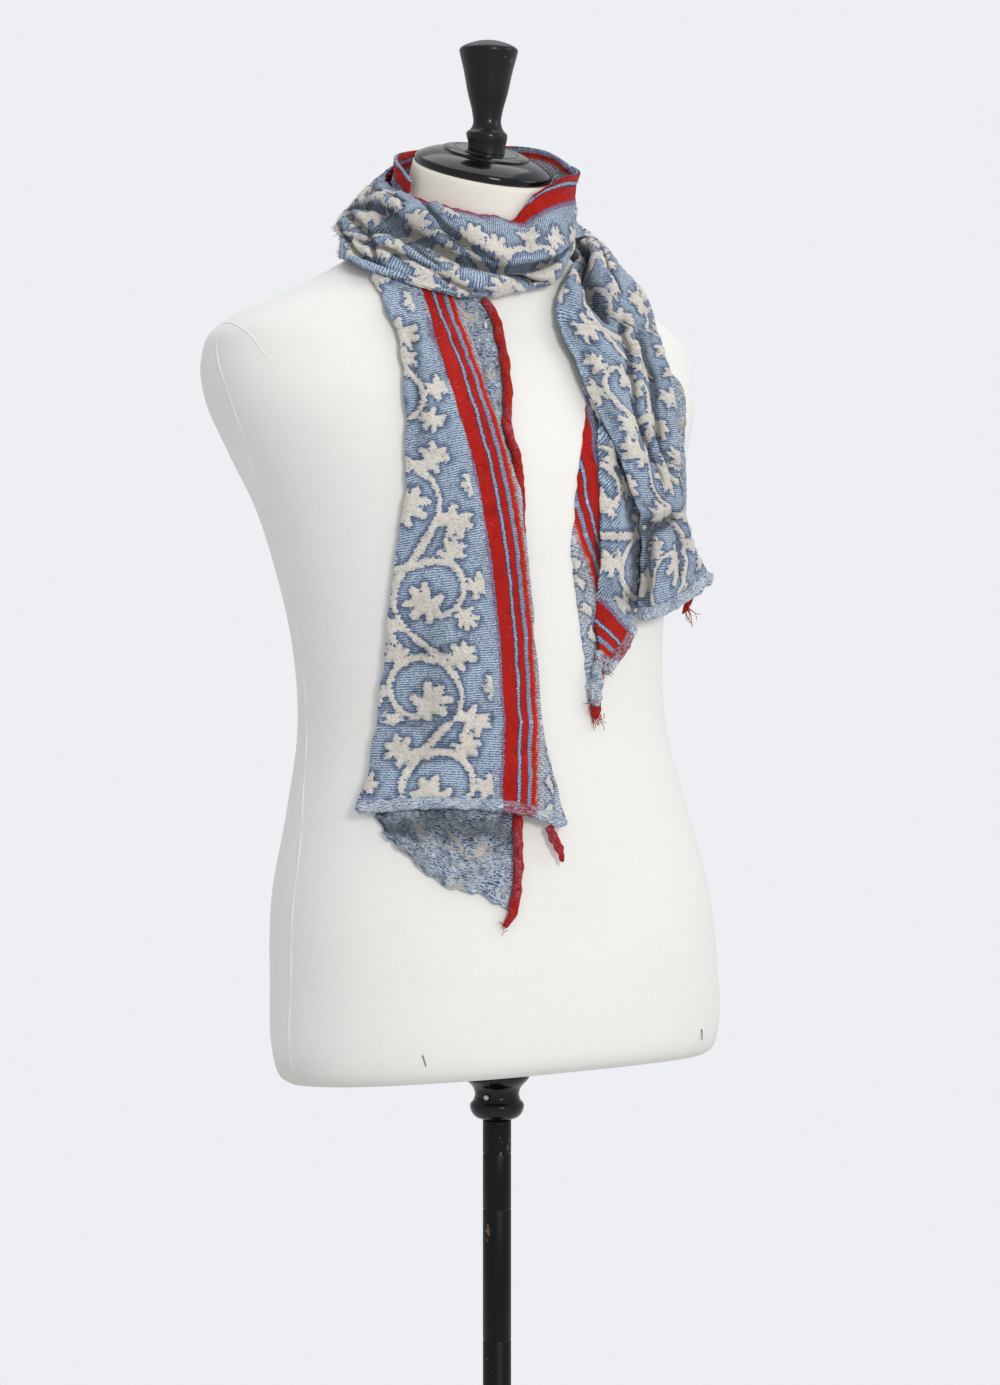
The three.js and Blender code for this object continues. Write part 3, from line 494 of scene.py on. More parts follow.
# The same canvas folded into a welt, which to the eye is a fine raised line.
welted = cotton.copy()
welted.name = "cotton_seam_welt"
for hand in (-1, 1):
    heights = np.linspace(782, 1352, 160)
    puckers = 0.75 + 0.25 * np.sin(heights * 1.9 + hand)
    side_path = off_form(-hand * SIDE_SEAM.by("height", heights)["turn"], heights, -0.15)
    fit_piece(tube("side_seam", side_path, puckers, 8, flat=0.9), welted)
    rows = np.linspace(0, 5, 50)
    seam = ARMHOLE_SEAM.at(rows)
    armhole_path = off_form(-hand * seam["turn"], seam["height"], -0.25)
    armhole = tube("armhole_seam", armhole_path, np.minimum(0.8, 0.25 + rows * 0.4), 8)
    fit_piece(armhole, welted)
    # Loose thread ends where the bottom edge was tacked up.
    drop = np.linspace(0, 1, 8)
    thread = off_form(hand * 55.0 + 0 * drop, 795 - 9 * drop, 0.5) + 1.6 * drop[:, None] * [1, -0.4, 0]
    fit_piece(tube("tacking_thread", thread, 0.45, 6), tack)

# ---------------------------------------------------------------- neck cap and finial
# The cap that closes the neck: a wide lathe-turned disc with a stepped ring, lacquered gloss black,
# and the finial that the form is lifted by, set in the ring's seat and standing nearly upright.
CAP_LEAN = math.atan(NECK_SLOPE)
FINIAL_LEAN = 0.041
FINIAL_SEAT = 17.3  # along the neck's axis, from its top
FOOT_CUT = 20  # up to this height the finial's foot takes the slope of its seat
neck_axis = np.array([0, -NECK_SLOPE, 1]) / math.hypot(NECK_SLOPE, 1)
cap_profile = rounded(
    [
        [0, 0], [55, 0], [NECK_RADIUS, 1], [NECK_RADIUS, 4.5], [55, 6], [49, 9.5], [42, 12.3],
        [35.4, 13.9], [35, 15.4], [33, 16.2], [27, 17], [26, 16.2], [25, 17], [0, 17],
    ],
    [0, 1, 2, 3, 4, 7, 8, 10, 11, 12, 13],
)
finial_profile = rounded(
    [
        [0, 0], [14.9, 0], [14.9, 3], [15.4, 6], [16.5, 10], [16.5, 13], [13.7, 15.7], [12, 18.6],
        [11.3, 21.5], [12.1, 29], [16.1, 45], [20.1, 64.3], [22.6, 74], [23.7, 78.4], [23.2, 80.4],
        [21.2, 82], [14.4, 85], [7, 86.9], [0, 87.5],
    ],
    [0, 1, 2, 6, 13, 14, 18],
)


def lean(piece, angle, seat, foot_slope=0.0):
    """Cuts a turned piece's foot to a slope, leans it about X and seats it."""
    for vertex in piece.data.vertices:
        x, y, z = vertex.co
        z += foot_slope * max(1 - z / (FOOT_CUT * MM), 0) * y
        turned_y = y * math.cos(angle) - z * math.sin(angle)
        turned_z = y * math.sin(angle) + z * math.cos(angle)
        vertex.co = (x, turned_y + seat[1] * MM, turned_z + seat[2] * MM)


cap = spin_piece("turned_neck_cap", cap_profile, 160)
lean(cap, CAP_LEAN, NECK_TOP)
fit_piece(cap, gloss_black, "neck_cap")
finial = spin_piece("turned_finial", finial_profile, 96)
lean(finial, FINIAL_LEAN, NECK_TOP + neck_axis * FINIAL_SEAT, NECK_SLOPE - FINIAL_LEAN)
handled_black = turned_wood("handled_black_lacquer_on_beech", 0.36, 0.12)
fit_piece(finial, handled_black, "finial")

# ---------------------------------------------------------------- the scarf's knit
# One piece of double-faced wool jacquard, 380 mm wide and 1.9 m long: a grey-blue ground with a
# cream scrolling vine, a striped red border along the side that shows, and edges that roll by
# themselves.
CLOTH = 2.6  # its thickness
# Places on the cloth are in millimetres: x runs across it from the wide red stripe's inner edge
# (above 0 towards the selvedge), y runs along it.
GROUND_EDGE = -5.0
OUTER_BAND = (28.6, 52.0)
BAND_MIDDLE = 40.5
STRIPES = [
    # from x, colour, how strongly the courses show
    (-3.4, "#7e7f9f", 1.2), (-2.6, "#8194b4", 1.2), (-1.2, "#7f6d8e", 1.2), (0.0, "#ae1c15", 0.25),
    (10.6, "#3f3350", 0.8), (11.4, "#9aa3bd", 1.7), (13.9, "#473553", 0.8), (14.6, "#ae1e16", 0.25),
    (19.4, "#4a4463", 0.9), (20.1, "#8b95b0", 1.7), (23.4, "#b3271b", 0.3), (27.2, "#d8826b", 0.5),
    (28.2, "#7f93b8", 1.0), (52.0, "#8c3f52", 0.6), (53.5, "#a8201a", 0.3),
]
VINE_REPEAT, VINE_WIDTH, VINE_SWAY = 158.0, 96.0, 23.0
STEM_HALF = 2.6
# In each hollow of the stem, the leaves of its branch and of the stem: foot (across from the
# column's middle towards the hollow, along from the stem's crest), heading, length and hand.
VINE_LEAVES = [
    (12, 14, -2.4, 29, 1), (33, -5, -0.1, 21, 1), (19, -27, -0.95, 21, -1),
    (26, 10, 1.0, 18, -1), (-20, 13, 2.5, 25, 1), (-14, -24, -2.5, 23, -1),
]
# A leaf of length 34: its fingers, each from one place to another (along and beside the midrib),
# with the half widths at its root and its tip.
LEAF_FINGERS = [
    ((0.0, 0.0), (0.5, 0.0), 2.8, 8.4),
    ((0.5, 0.0), (0.98, 0.1), 8.0, 3.9),
    ((0.34, 0.05), (0.31, 0.4), 5.8, 3.6),
    ((0.56, 0.06), (0.82, 0.4), 6.0, 3.6),
    ((0.3, -0.02), (0.15, -0.29), 5.0, 3.1),
    ((0.5, -0.02), (0.58, -0.43), 6.2, 3.7),
    ((0.7, -0.04), (0.93, -0.31), 5.6, 3.2),
]
OUTSIDE = -1e3


def thick_line(u, v, path, half):
    """How far a place lies inside a line of varying half width; below 0 is outside."""
    best = np.full(u.shape, OUTSIDE)
    for (a, b), (c, d), wide, wider in zip(path[:-1], path[1:], half[:-1], half[1:]):
        du, dv = c - a, d - b
        t = np.clip(((u - a) * du + (v - b) * dv) / (du * du + dv * dv), 0, 1)
        best = np.maximum(best, wide + (wider - wide) * t - np.hypot(u - a - t * du, v - b - t * dv))
    return best


def lobed_leaf(u, v, foot, heading, length, hand):
    """A leaf of blunt fingers that spread from its midrib."""
    size = length / 34
    p, q = math.cos(heading) * length, math.sin(heading) * length
    best = np.full(u.shape, OUTSIDE)
    for root, tip, wide, narrow in LEAF_FINGERS:
        ends = [(foot[0] + s * p - hand * t * q, foot[1] + s * q + hand * t * p) for s, t in (root, tip)]
        best = np.maximum(best, thick_line(u, v, ends, [wide * size, narrow * size]))
    return best


def scrolling_vine(u, v):
    """One waving stem with a leafy curl in each hollow, as how far a place lies inside it."""
    best = np.full(u.shape, OUTSIDE)
    middle = VINE_WIDTH / 2
    for w in (v + VINE_REPEAT, v, v - VINE_REPEAT):
        steps = np.linspace(0, VINE_REPEAT, 40)
        stem = [(middle + VINE_SWAY * math.sin(2 * math.pi * step / VINE_REPEAT), step) for step in steps]
        best = np.maximum(best, thick_line(u, w, stem, [STEM_HALF + 0.9 * math.sin(s / 11) for s in steps]))
        for side, crest in ((1, VINE_REPEAT / 4), (-1, 3 * VINE_REPEAT / 4)):
            # side is the way the stem swings here. The branch leaves it low down and curls in the
            # hollow on the other side, round a middle that lies 9 mm across and 7 mm back.
            turns = np.linspace(-2.1, 1.4, 24)
            radii = np.linspace(25, 21, 24)
            ways = [(-9.0, -31.0), *zip(9 + radii * np.cos(turns), -7 + radii * np.sin(turns))]
            branch = [(middle - side * p, crest + q) for p, q in ways]
            halves = np.linspace(STEM_HALF + 0.6, STEM_HALF - 0.6, len(branch))
            best = np.maximum(best, thick_line(u, w, branch, halves))
            for p, q, heading, length, hand in VINE_LEAVES:
                foot = (middle - side * p, crest + q)
                turned = math.atan2(math.sin(heading), -side * math.cos(heading))
                best = np.maximum(best, lobed_leaf(u, w, foot, turned, length, -side * hand))
    return best


STITCH = 0.9  # the chart of the vine is worked out at this step
OVERHANG = 24.0  # it runs on past its column, for the leaf tips that reach into the next one
chart_u = np.arange(-OVERHANG, VINE_WIDTH + OVERHANG, STITCH)
chart_v = np.arange(0, VINE_REPEAT, STITCH)
vine_chart = scrolling_vine(*np.meshgrid(chart_u, chart_v, indexing="ij"))


def read_chart(chart, u, v):
    """A chart that repeats along v, read smoothly at places in millimetres."""
    count = chart.shape[1]
    a, b = np.clip((u + OVERHANG) / STITCH, 0, chart.shape[0] - 1.001), v / VINE_REPEAT * count
    i, j = a.astype(int), np.floor(b).astype(int)
    s, t = a - i, b - j
    low, high = (chart[k, j % count] * (1 - t) + chart[k, (j + 1) % count] * t for k in (i, i + 1))
    return low * (1 - s) + high * s


def border_leaves(x, y, repeat=21.0):
    """The narrow outer band: a row of pointed leaves along its middle."""
    along = np.mod(y, repeat) - repeat / 2
    return 4.6 - np.abs(x - BAND_MIDDLE + 2 * np.sin(y / 4)) * 1.1 - np.abs(along) * 0.6


def motif_of(x, y):
    """How far a place of the cloth lies inside a cream motif, in millimetres, up to 12 either way."""
    u = GROUND_EDGE - 3 - x
    column = np.floor(u / VINE_WIDTH)
    ground = np.full(np.shape(x), -12.0)
    for place in (column - 1, column, column + 1):
        # Every other column is turned over and starts half a repeat on.
        turned = np.mod(place, 2) == 1
        inside = u - place * VINE_WIDTH
        across = np.where(turned, VINE_WIDTH - inside, inside)
        along = y + np.where(turned, VINE_REPEAT / 2, 0)
        ground = np.maximum(ground, read_chart(vine_chart, across, along))
    made = np.where(u > 0, np.minimum(ground, u + 1), -12.0)
    made = np.where((x > OUTER_BAND[0]) & (x < OUTER_BAND[1]), border_leaves(x, y), made)
    return np.clip(made, -12, 12)


rng = np.random.default_rng(11)
RIPPLES = [(rng.uniform(0, 2 * np.pi), rng.uniform(14, 46), rng.uniform(0, 2 * np.pi)) for _ in range(26)]


def rumple(x, y):
    """Small soft unevenness of worn knit, between about -1 and 1."""
    total = 0
    for way, length, phase in RIPPLES:
        total = total + np.sin(2 * np.pi * (x * math.cos(way) + y * math.sin(way)) / length + phase)
    return total / 7.0


def folds(scale, lines, shades=""):
    """A stretch's folds from text: each row gives a height, a half width and the line it follows."""
    made = {"scale": scale}
    for kind, text in (("lines", lines), ("shades", shades)):
        rows = [row.split(":") for row in text.splitlines() if ":" in row]
        made[kind] = [
            (*map(float, size.split()), np.array([place.split() for place in line.split(",")], float))
            for size, line in rows
        ]
    return made


def fold_height(stretch, across, down, kind="lines"):
    """Soft troughs (below 0) and ridges along a stretch's lines, which fade out at both ends."""
    a_mm, d_mm = across * stretch["scale"][0], down * stretch["scale"][1]
    total = np.zeros(a_mm.shape)
    for height, width, line in stretch[kind]:
        corners = line * stretch["scale"]
        run = run_along(corners)
        best, along = np.full(total.shape, 1e9), np.zeros(total.shape)
        for (a, b), (c, d), start, end in zip(corners[:-1], corners[1:], run[:-1], run[1:]):
            span = end - start
            t = np.clip(((a_mm - a) * (c - a) + (d_mm - b) * (d - b)) / span**2, 0, 1)
            gap = np.hypot(a_mm - a - t * (c - a), d_mm - b - t * (d - b))
            along = np.where(gap < best, start + t * span, along)
            best = np.minimum(gap, best)
        fade = np.clip(np.minimum(along, run[-1] - along) / run[-1] / 0.2, 0, 1)
        total += height * fade**2 * (3 - 2 * fade) * np.exp(-((best / width) ** 2))
    return total


def smoothed(grid, reach):
    """A grid's values, each averaged over a square of its neighbours."""
    for axis in (0, 1):
        padded = np.pad(grid, [(reach * (axis == k),) * 2 for k in (0, 1)], mode="edge")
        places = [range(k, k + grid.shape[axis]) for k in range(2 * reach + 1)]
        grid = sum(np.take(padded, place, axis) for place in places) / (2 * reach + 1)
    return grid


def facing(surface, across, down, step_a=1e-3, step_d=1e-3):
    """A surface's sideways way and its outward normal."""
    sideways = surface(across + step_a, down) - surface(across - step_a, down)
    return sideways, unit(np.cross(surface(across, down + step_d) - surface(across, down - step_d), sideways))


CELL = 1.55  # the grid's step
PUFF = 1.15  # how far a cream motif stands out of the ground
WANDER_IN = 14  # how far in from a long edge its wandering is felt
CURL_IN = 2.4  # how far in it turns
HANG = 420  # a stretch's length, as far as its edges' wandering goes


def knit_shell(
    name, surface, stretch, across, down, cloth_place,
    inner_place=None, sides=(0, 1), wavy=0.0, curl=0.0, rough=0.9,
):
    """A stretch of the scarf: a closed wall on a fine grid over its surface.

    cloth_place(points, across, down) gives each grid place's x and y on the cloth, and inner_place
    those of the face behind it, where the cloth is folded over. sides says which of its two faces is
    the right side (0) and the wrong side (1). The long edges wander by wavy and turn in by curl.
    A fold's shades are where its neighbours keep the light off it.
    """
    coarse = surface(*np.meshgrid(np.linspace(*across, 30), np.linspace(*down, 30)))
    rows, columns = (int(run_along(coarse, axis).max() / CELL) + 1 for axis in (0, 1))
    a, d = np.meshgrid(np.linspace(*across, columns), np.linspace(*down, rows))
    sideways, out = facing(surface, a, d, (across[1] - across[0]) * 1e-3, (down[1] - down[0]) * 1e-3)
    fold = fold_height(stretch, a, d)
    skin = surface(a, d) + out * fold[..., None]
    # The long edges wander, and turn in.
    run = run_along(skin, 1)
    left, right = run, run[:, -1:] - run
    along = d / (down[1] - down[0]) * HANG
    wander, other = rumple(0 * run + 300, along), rumple(0 * run - 300, along)
    aside = wavy * (wander * np.exp(-left / WANDER_IN) + other * np.exp(-right / WANDER_IN))
    skin = skin + unit(sideways) * aside[..., None]
    turned_in = np.exp(-((left / CURL_IN) ** 2)) + np.exp(-((right / CURL_IN) ** 2))
    skin = skin - out * (curl * turned_in)[..., None]
    # The motifs puff out of the ground, with a dip round each.
    x, y = cloth_place(skin, a, d)
    motif = motif_of(x, y)
    swell = np.clip((motif + 1.5) / 3.5, 0, 1)
    dip = -0.35 * np.exp(-(((motif + 1.2) / 1.3) ** 2))
    relief = PUFF * (swell**2 * (3 - 2 * swell) - 0.4 + dip)
    relief += rough * (rumple(x, y) + 0.5 * rumple(3.1 * y, 3.1 * x))
    row, column = np.indices(x.shape)
    edge = np.minimum(np.minimum(column, columns - 1 - column), np.minimum(row, rows - 1 - row))
    face = skin + out * (relief * np.clip(edge / 3, 0, 1))[..., None]
    back = face - out * CLOTH
    # The wall: its two faces, and between them a rounded rim.
    grid = np.arange(rows * columns).reshape(rows, columns)
    rim = np.concatenate([grid[0, :-1], grid[:-1, -1], grid[-1, :0:-1], grid[:0:-1, 0]])
    inward = np.concatenate([face[1, :-1], face[:-1, -2], face[-2, :0:-1], face[:0:-1, 1]])
    face, back = face.reshape(-1, 3), back.reshape(-1, 3)
    middle = (face[rim] + back[rim]) / 2 + unit(face[rim] - inward) * CLOTH * 0.32
    ring = 2 * grid.size + np.arange(len(rim))
    rim_next, ring_next = np.roll(rim, -1), np.roll(ring, -1)
    outer = np.stack([grid[:-1, :-1], grid[1:, :-1], grid[1:, 1:], grid[:-1, 1:]], -1).reshape(-1, 4)
    inner = outer[:, [0, 3, 2, 1]] + grid.size
    upper = np.stack([rim, rim_next, ring_next, ring], 1)
    lower = np.stack([ring, ring_next, rim_next + grid.size, rim + grid.size], 1)
    place = np.stack([x, y], -1).reshape(-1, 2)
    behind = place if inner_place is None else np.stack(inner_place(x, y, a, d), -1).reshape(-1, 2)
    uv = np.concatenate([place, behind, place[rim]])
    piece = mesh_piece(name, np.concatenate([face, back, middle]), [outer, inner, upper, lower], uv)
    raised = fold + relief
    # Painted shade: the crease attribute darkens the troughs of the folds, the hollows between their ridges
    # and the listed shade lines, where the light is kept out.
    crease = fold_height(stretch, a, d, "shades") + np.clip(-fold / 8, 0, 1) * 0.8
    crease += np.clip((smoothed(raised, 4) - raised) / 1.8, 0, 1) * 0.6
    kept_values = (("motif", motif, motif_of(*behind.T)), ("crease", crease, 0 * behind[:, 0]))
    for attribute, values, others in kept_values:
        whole = np.concatenate([values.ravel(), others, values.ravel()[rim]])
        kept = piece.data.attributes.new(attribute, "FLOAT", "POINT")
        kept.data.foreach_set("value", whole.astype(np.float32))
    wrong = np.repeat([*sides, 0], [len(outer), len(inner), 2 * len(rim)]).astype(np.int32)
    piece.data.polygons.foreach_set("material_index", wrong)
    return piece


COURSE = 1.9  # the courses are 1.2 mm apart in the wool, drawn at 1.9 mm so that they show


def wave(add, along, length, offset=0.0):
    """A smooth 0 to 1 wave along a coordinate in millimetres."""
    phase = add("Math", along, 2 * math.pi / length, offset, operation="MULTIPLY_ADD")
    return add("Math", add("Math", phase, operation="SINE"), 0.5, 0.5, operation="MULTIPLY_ADD")


def start_wool(name):
    """A new wool material, what adds a node to it, and the cloth's places in millimetres, then x and y."""
    made, add = new_material(name)
    place = add("VectorMath", add("UVMap", uv_map="scarf"), 1000.0, operation="SCALE")
    split = add("SeparateXYZ", place)
    return made, add, place, split.outputs["X"], split.outputs["Y"]


def finish_wool(add, colour, bump, down=0.08):
    """Wool to the eye: no shine, and a faint pale down where it is seen along its face."""
    shader = add(
        "BsdfPrincipled", colour, Roughness=0.95, Specular_IOR_Level=0.2,
        Sheen_Weight=down, Sheen_Roughness=0.45, Normal=bump,
    )
    add("OutputMaterial", shader)


def inside_motif(add, place, y, least):
    """How deep the cloth lies in a cream motif, and 1 inside it, with edges stepped stitch by stitch."""
    depth = add("Attribute", attribute_name="motif").outputs["Fac"]
    stitch = add("VectorMath", place, (1.3, COURSE, 1.0), operation="SNAP")
    chance = add("TexWhiteNoise", stitch, noise_dimensions="2D")
    jitter = add("Math", chance, 1.7, -0.85 - least, operation="MULTIPLY_ADD")
    wander = add("TexNoise", add("Mapping", place, Scale=(0.22, 0.3, 1)), 1.0, 3.0)
    wander = add("Math", wander, 5.0, -2.5, operation="MULTIPLY_ADD")
    ragged = add("Math", add("Math", depth, jitter, operation="ADD"), wander, operation="ADD")
    teeth = add("Math", wave(add, y, 2 * COURSE), 0.9, -0.45, operation="MULTIPLY_ADD")
    return depth, add("MapRange", add("Math", ragged, teeth, operation="ADD"), -0.3, 0.3)


# The right side: smooth courses of two blues, the cream motifs puffed with a slubbed face, and
# the border stripes, the reds felted and the lilac ones ribbed.
knit_right, add, place, x, y = start_wool("jacquard_wool_right_side")
TIMES = {"operation": "MULTIPLY"}
TIMES_PLUS = {"operation": "MULTIPLY_ADD"}
courses = wave(add, y, COURSE, add("Math", add("TexNoise", place, 0.16, 2.0), 4.0, **TIMES))
dashes = add("TexNoise", add("Mapping", place, Scale=(0.55, 1.0, 1)), 1.0, 4.0)
yarn = add("TexNoise", place, 1.3, 2.0)
clouds = add("TexNoise", place, 0.035, 3.0)
depth, cream = inside_motif(add, place, y, 0.0)
shaky = add("TexNoise", add("Mapping", place, Scale=(0.1, 0.5, 1)), 1.0, 3.0)
across = add("Math", x, add("Math", shaky, 2.6, -1.3, **TIMES_PLUS), operation="ADD")
# The stripes, with how strongly each shows its courses in the ramp's alpha.
RAMP_FROM, RAMP_SPAN = -8.0, 66.0
MOST_RIBBED = 1.5
ramp = add("ValToRGB", add("Math", across, 1 / RAMP_SPAN, -RAMP_FROM / RAMP_SPAN, **TIMES_PLUS))
ramp.color_ramp.interpolation = "CONSTANT"
ramp.color_ramp.elements[0].color = (*linear("#8097b6")[:3], 1.0 / MOST_RIBBED)
ramp.color_ramp.elements.remove(ramp.color_ramp.elements[1])
for start, code, strength in STRIPES:
    stop = ramp.color_ramp.elements.new((start - RAMP_FROM) / RAMP_SPAN)
    stop.color = (*linear(code)[:3], strength / MOST_RIBBED)
ribs = ramp.outputs["Alpha"]
# Ground yarns: light and dark courses, flecked.
flecks = add("Math", courses, 0.5, add("Math", dashes, 1.9, -0.72, **TIMES_PLUS), **TIMES_PLUS)
ground = add("Mix", add("MapRange", flecks, 0.15, 0.8), "#44648e", "#c8d4dc", **COLOURS)
before = add("Math", across, STRIPES[0][0], operation="LESS_THAN")
beyond = add("Math", across, OUTER_BAND[0], operation="GREATER_THAN")
short_of_edge = add("Math", across, OUTER_BAND[1], operation="LESS_THAN")
is_ground = add("Math", add("Math", before, beyond, operation="ADD"), short_of_edge, **TIMES)
ribbed = add("Math", ribs, add("Math", flecks, 0.45, operation="SUBTRACT"), **TIMES)
felt = add("Math", add("TexNoise", place, 0.5, 4.0), 0.9, 0.5, **TIMES_PLUS)
felt = add("Math", felt, add("Math", ribbed, 1.15, 0.97, **TIMES_PLUS), **TIMES)
striped = add("VectorMath", ramp, felt, operation="SCALE")
both = add("Mix", is_ground, striped, ground, **COLOURS)
# The outer band is worked in fine cream chevrons round its leaves.
from_middle = add("Math", add("Math", across, BAND_MIDDLE, operation="SUBTRACT"), operation="ABSOLUTE")
slant = wave(add, add("Math", from_middle, 0.9, y, **TIMES_PLUS), 4.2)
chevrons = add("Math", add("MapRange", slant, 0.5, 0.75), add("MapRange", dashes, 0.38, 0.5), **TIMES)
band_from = add("Math", across, OUTER_BAND[0] + 1.4, operation="GREATER_THAN")
band = add("Math", band_from, add("Math", across, OUTER_BAND[1] - 1, operation="LESS_THAN"), **TIMES)
both = add("Mix", add("Math", chevrons, band, **TIMES), both, "#cfcbc3", **COLOURS)
# Red stitches stray out of the wide stripe into the ground, fewer the farther out.
stray = add("Math", add("MapRange", across, -7.0, 0.0), add("MapRange", across, 0.6, 0.4), **TIMES)
chance = add("TexNoise", add("Mapping", place, Scale=(0.9, 0.5, 1)), 1.0, 4.0)
stray = add("Math", stray, add("MapRange", chance, 0.47, 0.56), **TIMES)
both = add("Mix", stray, both, "#8e2a3a", **COLOURS)
# Red stitches straggle over the outer band's edge too.
ragged = add("Math", add("MapRange", across, 25.5, 26.5), add("MapRange", across, 33.0, 27.0), **TIMES)
chance = add("TexNoise", add("Mapping", place, Scale=(0.45, 0.3, 1)), 1.0, 4.0)
ragged = add("Math", ragged, add("MapRange", chance, 0.46, 0.54), **TIMES)
both = add("Mix", ragged, both, "#b03a2e", **COLOURS)
# Painted shade: the ground is darkened beside each puffed motif, as if shaded by the puff, broken up by the
# yarn's dashes.
motif_shade = add("MapRange", dashes, 0.35, 0.6, 0.25, 0.9)
motif_shade = add("Math", add("MapRange", depth, -4.2, -0.4), motif_shade, **TIMES)
both = add("Mix", motif_shade, both, "#2e4876", **COLOURS)
# Cream: slubs lean across the courses, with thin shadowed grooves.
leaning = add("Mapping", place, Rotation=(0, 0, 0.75))
slubs = add("TexNoise", add("Mapping", leaning, Scale=(1.1, 0.3, 1)), 1.0, 4.0)
creamy = add("Mix", add("MapRange", slubs, 0.3, 0.52), "#a8a196", "#dcd6cb", **COLOURS)
creamy = add("Mix", add("MapRange", yarn, 0.35, 0.7, 0.0, 0.35), creamy, "#f0ebe2", **COLOURS)
rim_blue = add("MapRange", yarn, 0.45, 0.62, 0.0, 0.5)
rim_blue = add("Math", add("MapRange", depth, 1.6, 0.2), rim_blue, **TIMES)
creamy = add("Mix", rim_blue, creamy, "#8ea3c6", **COLOURS)
colour = add("Mix", cream, both, creamy, **COLOURS)
# Painted shade from the crease attribute, darker in creases and under what hangs over, on top of a soft
# random tone in broad clouds.
crease = add("Attribute", attribute_name="crease").outputs["Fac"]
tone_and_crease_shade = add("MapRange", clouds, 0.3, 0.7, 0.9, 1.08)
tone_and_crease_shade = add("Math", add("MapRange", crease, 0.04, 0.9, 1.04, 0.3), tone_and_crease_shade, **TIMES)
groove = add("Math", cream, add("MapRange", slubs, 0.3, 0.6, 0.0, 0.7), **TIMES)
bare = add("Math", 1.0, cream, operation="SUBTRACT")
rib = add("Math", bare, add("Math", courses, ribs, **TIMES), **TIMES)
height = add("Math", groove, rib, operation="ADD")
height = add("Math", height, add("Math", yarn, 0.8, **TIMES), operation="ADD")
bump = add("Bump", 0.75, 0.0009, Height=height)
finish_wool(add, add("VectorMath", colour, tone_and_crease_shade, operation="SCALE"), bump)


def marled_wool(name, dark, pale, cream_from):
    """The wrong side: floating yarns make a marl of dark blue and pale grey.

    Cream shows only in the middle of the larger motifs, and red and white behind the stripes.
    """
    made, add, place, x, y = start_wool(name)
    courses = wave(add, y, COURSE, add("Math", add("TexNoise", place, 0.1, 3.0), 9.0, **TIMES))
    bent = add("TexNoise", place, 0.09, 2.0).outputs["Color"]
    drift = add("VectorMath", bent, (9.0, 9.0, 0.0), place, **TIMES_PLUS)
    dashes = add("TexNoise", add("Mapping", drift, Scale=(0.26, 0.95, 1)), 1.0, 4.0)
    yarn = add("TexNoise", add("Mapping", drift, Scale=(0.4, 1.3, 1)), 1.0, 2.0)
    share = add("Math", courses, 0.2, add("Math", dashes, 2.0, -0.95, **TIMES_PLUS), **TIMES_PLUS)
    share = add("Math", add("TexNoise", place, 0.07, 2.0), 0.7, share, **TIMES_PLUS)
    marl = add("Mix", add("MapRange", share, 0.27, 0.63), dark, pale, **COLOURS)
    marl = add("Mix", add("MapRange", yarn, 0.52, 0.6, 0.0, 0.85), marl, "#dadde0", **COLOURS)
    red_marl = add("Mix", add("MapRange", share, 0.3, 0.7), "#9c1f1a", "#b0a3b8", **COLOURS)
    behind = add("Math", x, -2.0, operation="GREATER_THAN")
    behind = add("Math", behind, add("Math", x, 27.0, operation="LESS_THAN"), **TIMES)
    marl = add("Mix", behind, marl, red_marl, **COLOURS)
    creamy = add("Mix", dashes, "#bdb3a6", "#d5cec3", **COLOURS)
    colour = add("Mix", inside_motif(add, place, y, cream_from)[1], marl, creamy, **COLOURS)
    # Painted shade from the crease attribute, darker in creases and under what hangs over.
    crease = add("Attribute", attribute_name="crease").outputs["Fac"]
    shade = add("VectorMath", colour, add("MapRange", crease, 0.04, 0.9, 1.0, 0.4), operation="SCALE")
    height = add("Math", add("Math", share, 1.2, **TIMES), add("Math", yarn, 0.7, **TIMES), operation="ADD")
    finish_wool(add, shade, add("Bump", 0.9, 0.0012, Height=height))
    return made


knit_wrong = marled_wool("jacquard_wool_wrong_side", "#344f7e", "#b9c6d2", 2.6)


def finish_knit(piece):
    """What every stretch of the scarf is made of, on both its faces, and the CAD part it stands for."""
    fit_piece(piece, knit_right, piece.name.removeprefix("scarf_"))
    piece.data.materials.append(knit_wrong)


# ---------------------------------------------------------------- the wound part
# A turn and a half round the neck, the scarf folded along its length so that its right side shows
# outside and inside: it comes off the short end's shoulder, round the back as a drooping cowl, across
# the front as a deeply creased swag, and round the back again as a standing band over the long end.
NECK_COLUMNS = "turn topR topH upR upH outR outH lowR lowH"
FRONT_LOOP = Table(NECK_COLUMNS, """
    -140 80 -18 92 -30 108 -62 90 -92
    -123 77 -21 93 -36 111 -67 94 -89
    -105 74 -21 93 -33 115 -61 105 -81
    -88 69 -21 91 -30 117 -57 120 -77
    -70 66 -22 87 -30 116 -55 131 -73.5
    -52 64 -22 84 -30 112 -56 126 -76.5
    -35 64 -23 80 -32 106 -60 113 -82
    -18 64 -23 78 -34 102 -60 100 -79
    -5 64 -24 77 -34 99 -58 95 -75
    5 64 -10 76 -30 97 -56 94 -73
    16 65 1 77 -22 96 -51 93 -70
    32 70 10 78 -15 89 -42 85 -59
    50 74 12 78 -10 83 -34 80 -48
    80 76 12 79 -8 81 -30 79 -44
""")
BACK_LOOP = Table(NECK_COLUMNS, """
    80 91 -46 106 -43 121 -55 134 -78
    100 84 -22 96 -30 112 -54 121 -80
    125 83 -2 94 -18 108 -58 100 -103
    150 84 0 97 -20 109 -64 86 -124
    180 83 -4 97 -24 109 -68 74 -132
    203 82 -12 95 -28 108 -65 83 -113
    220 80 -18 92 -30 108 -62 90 -92
""")
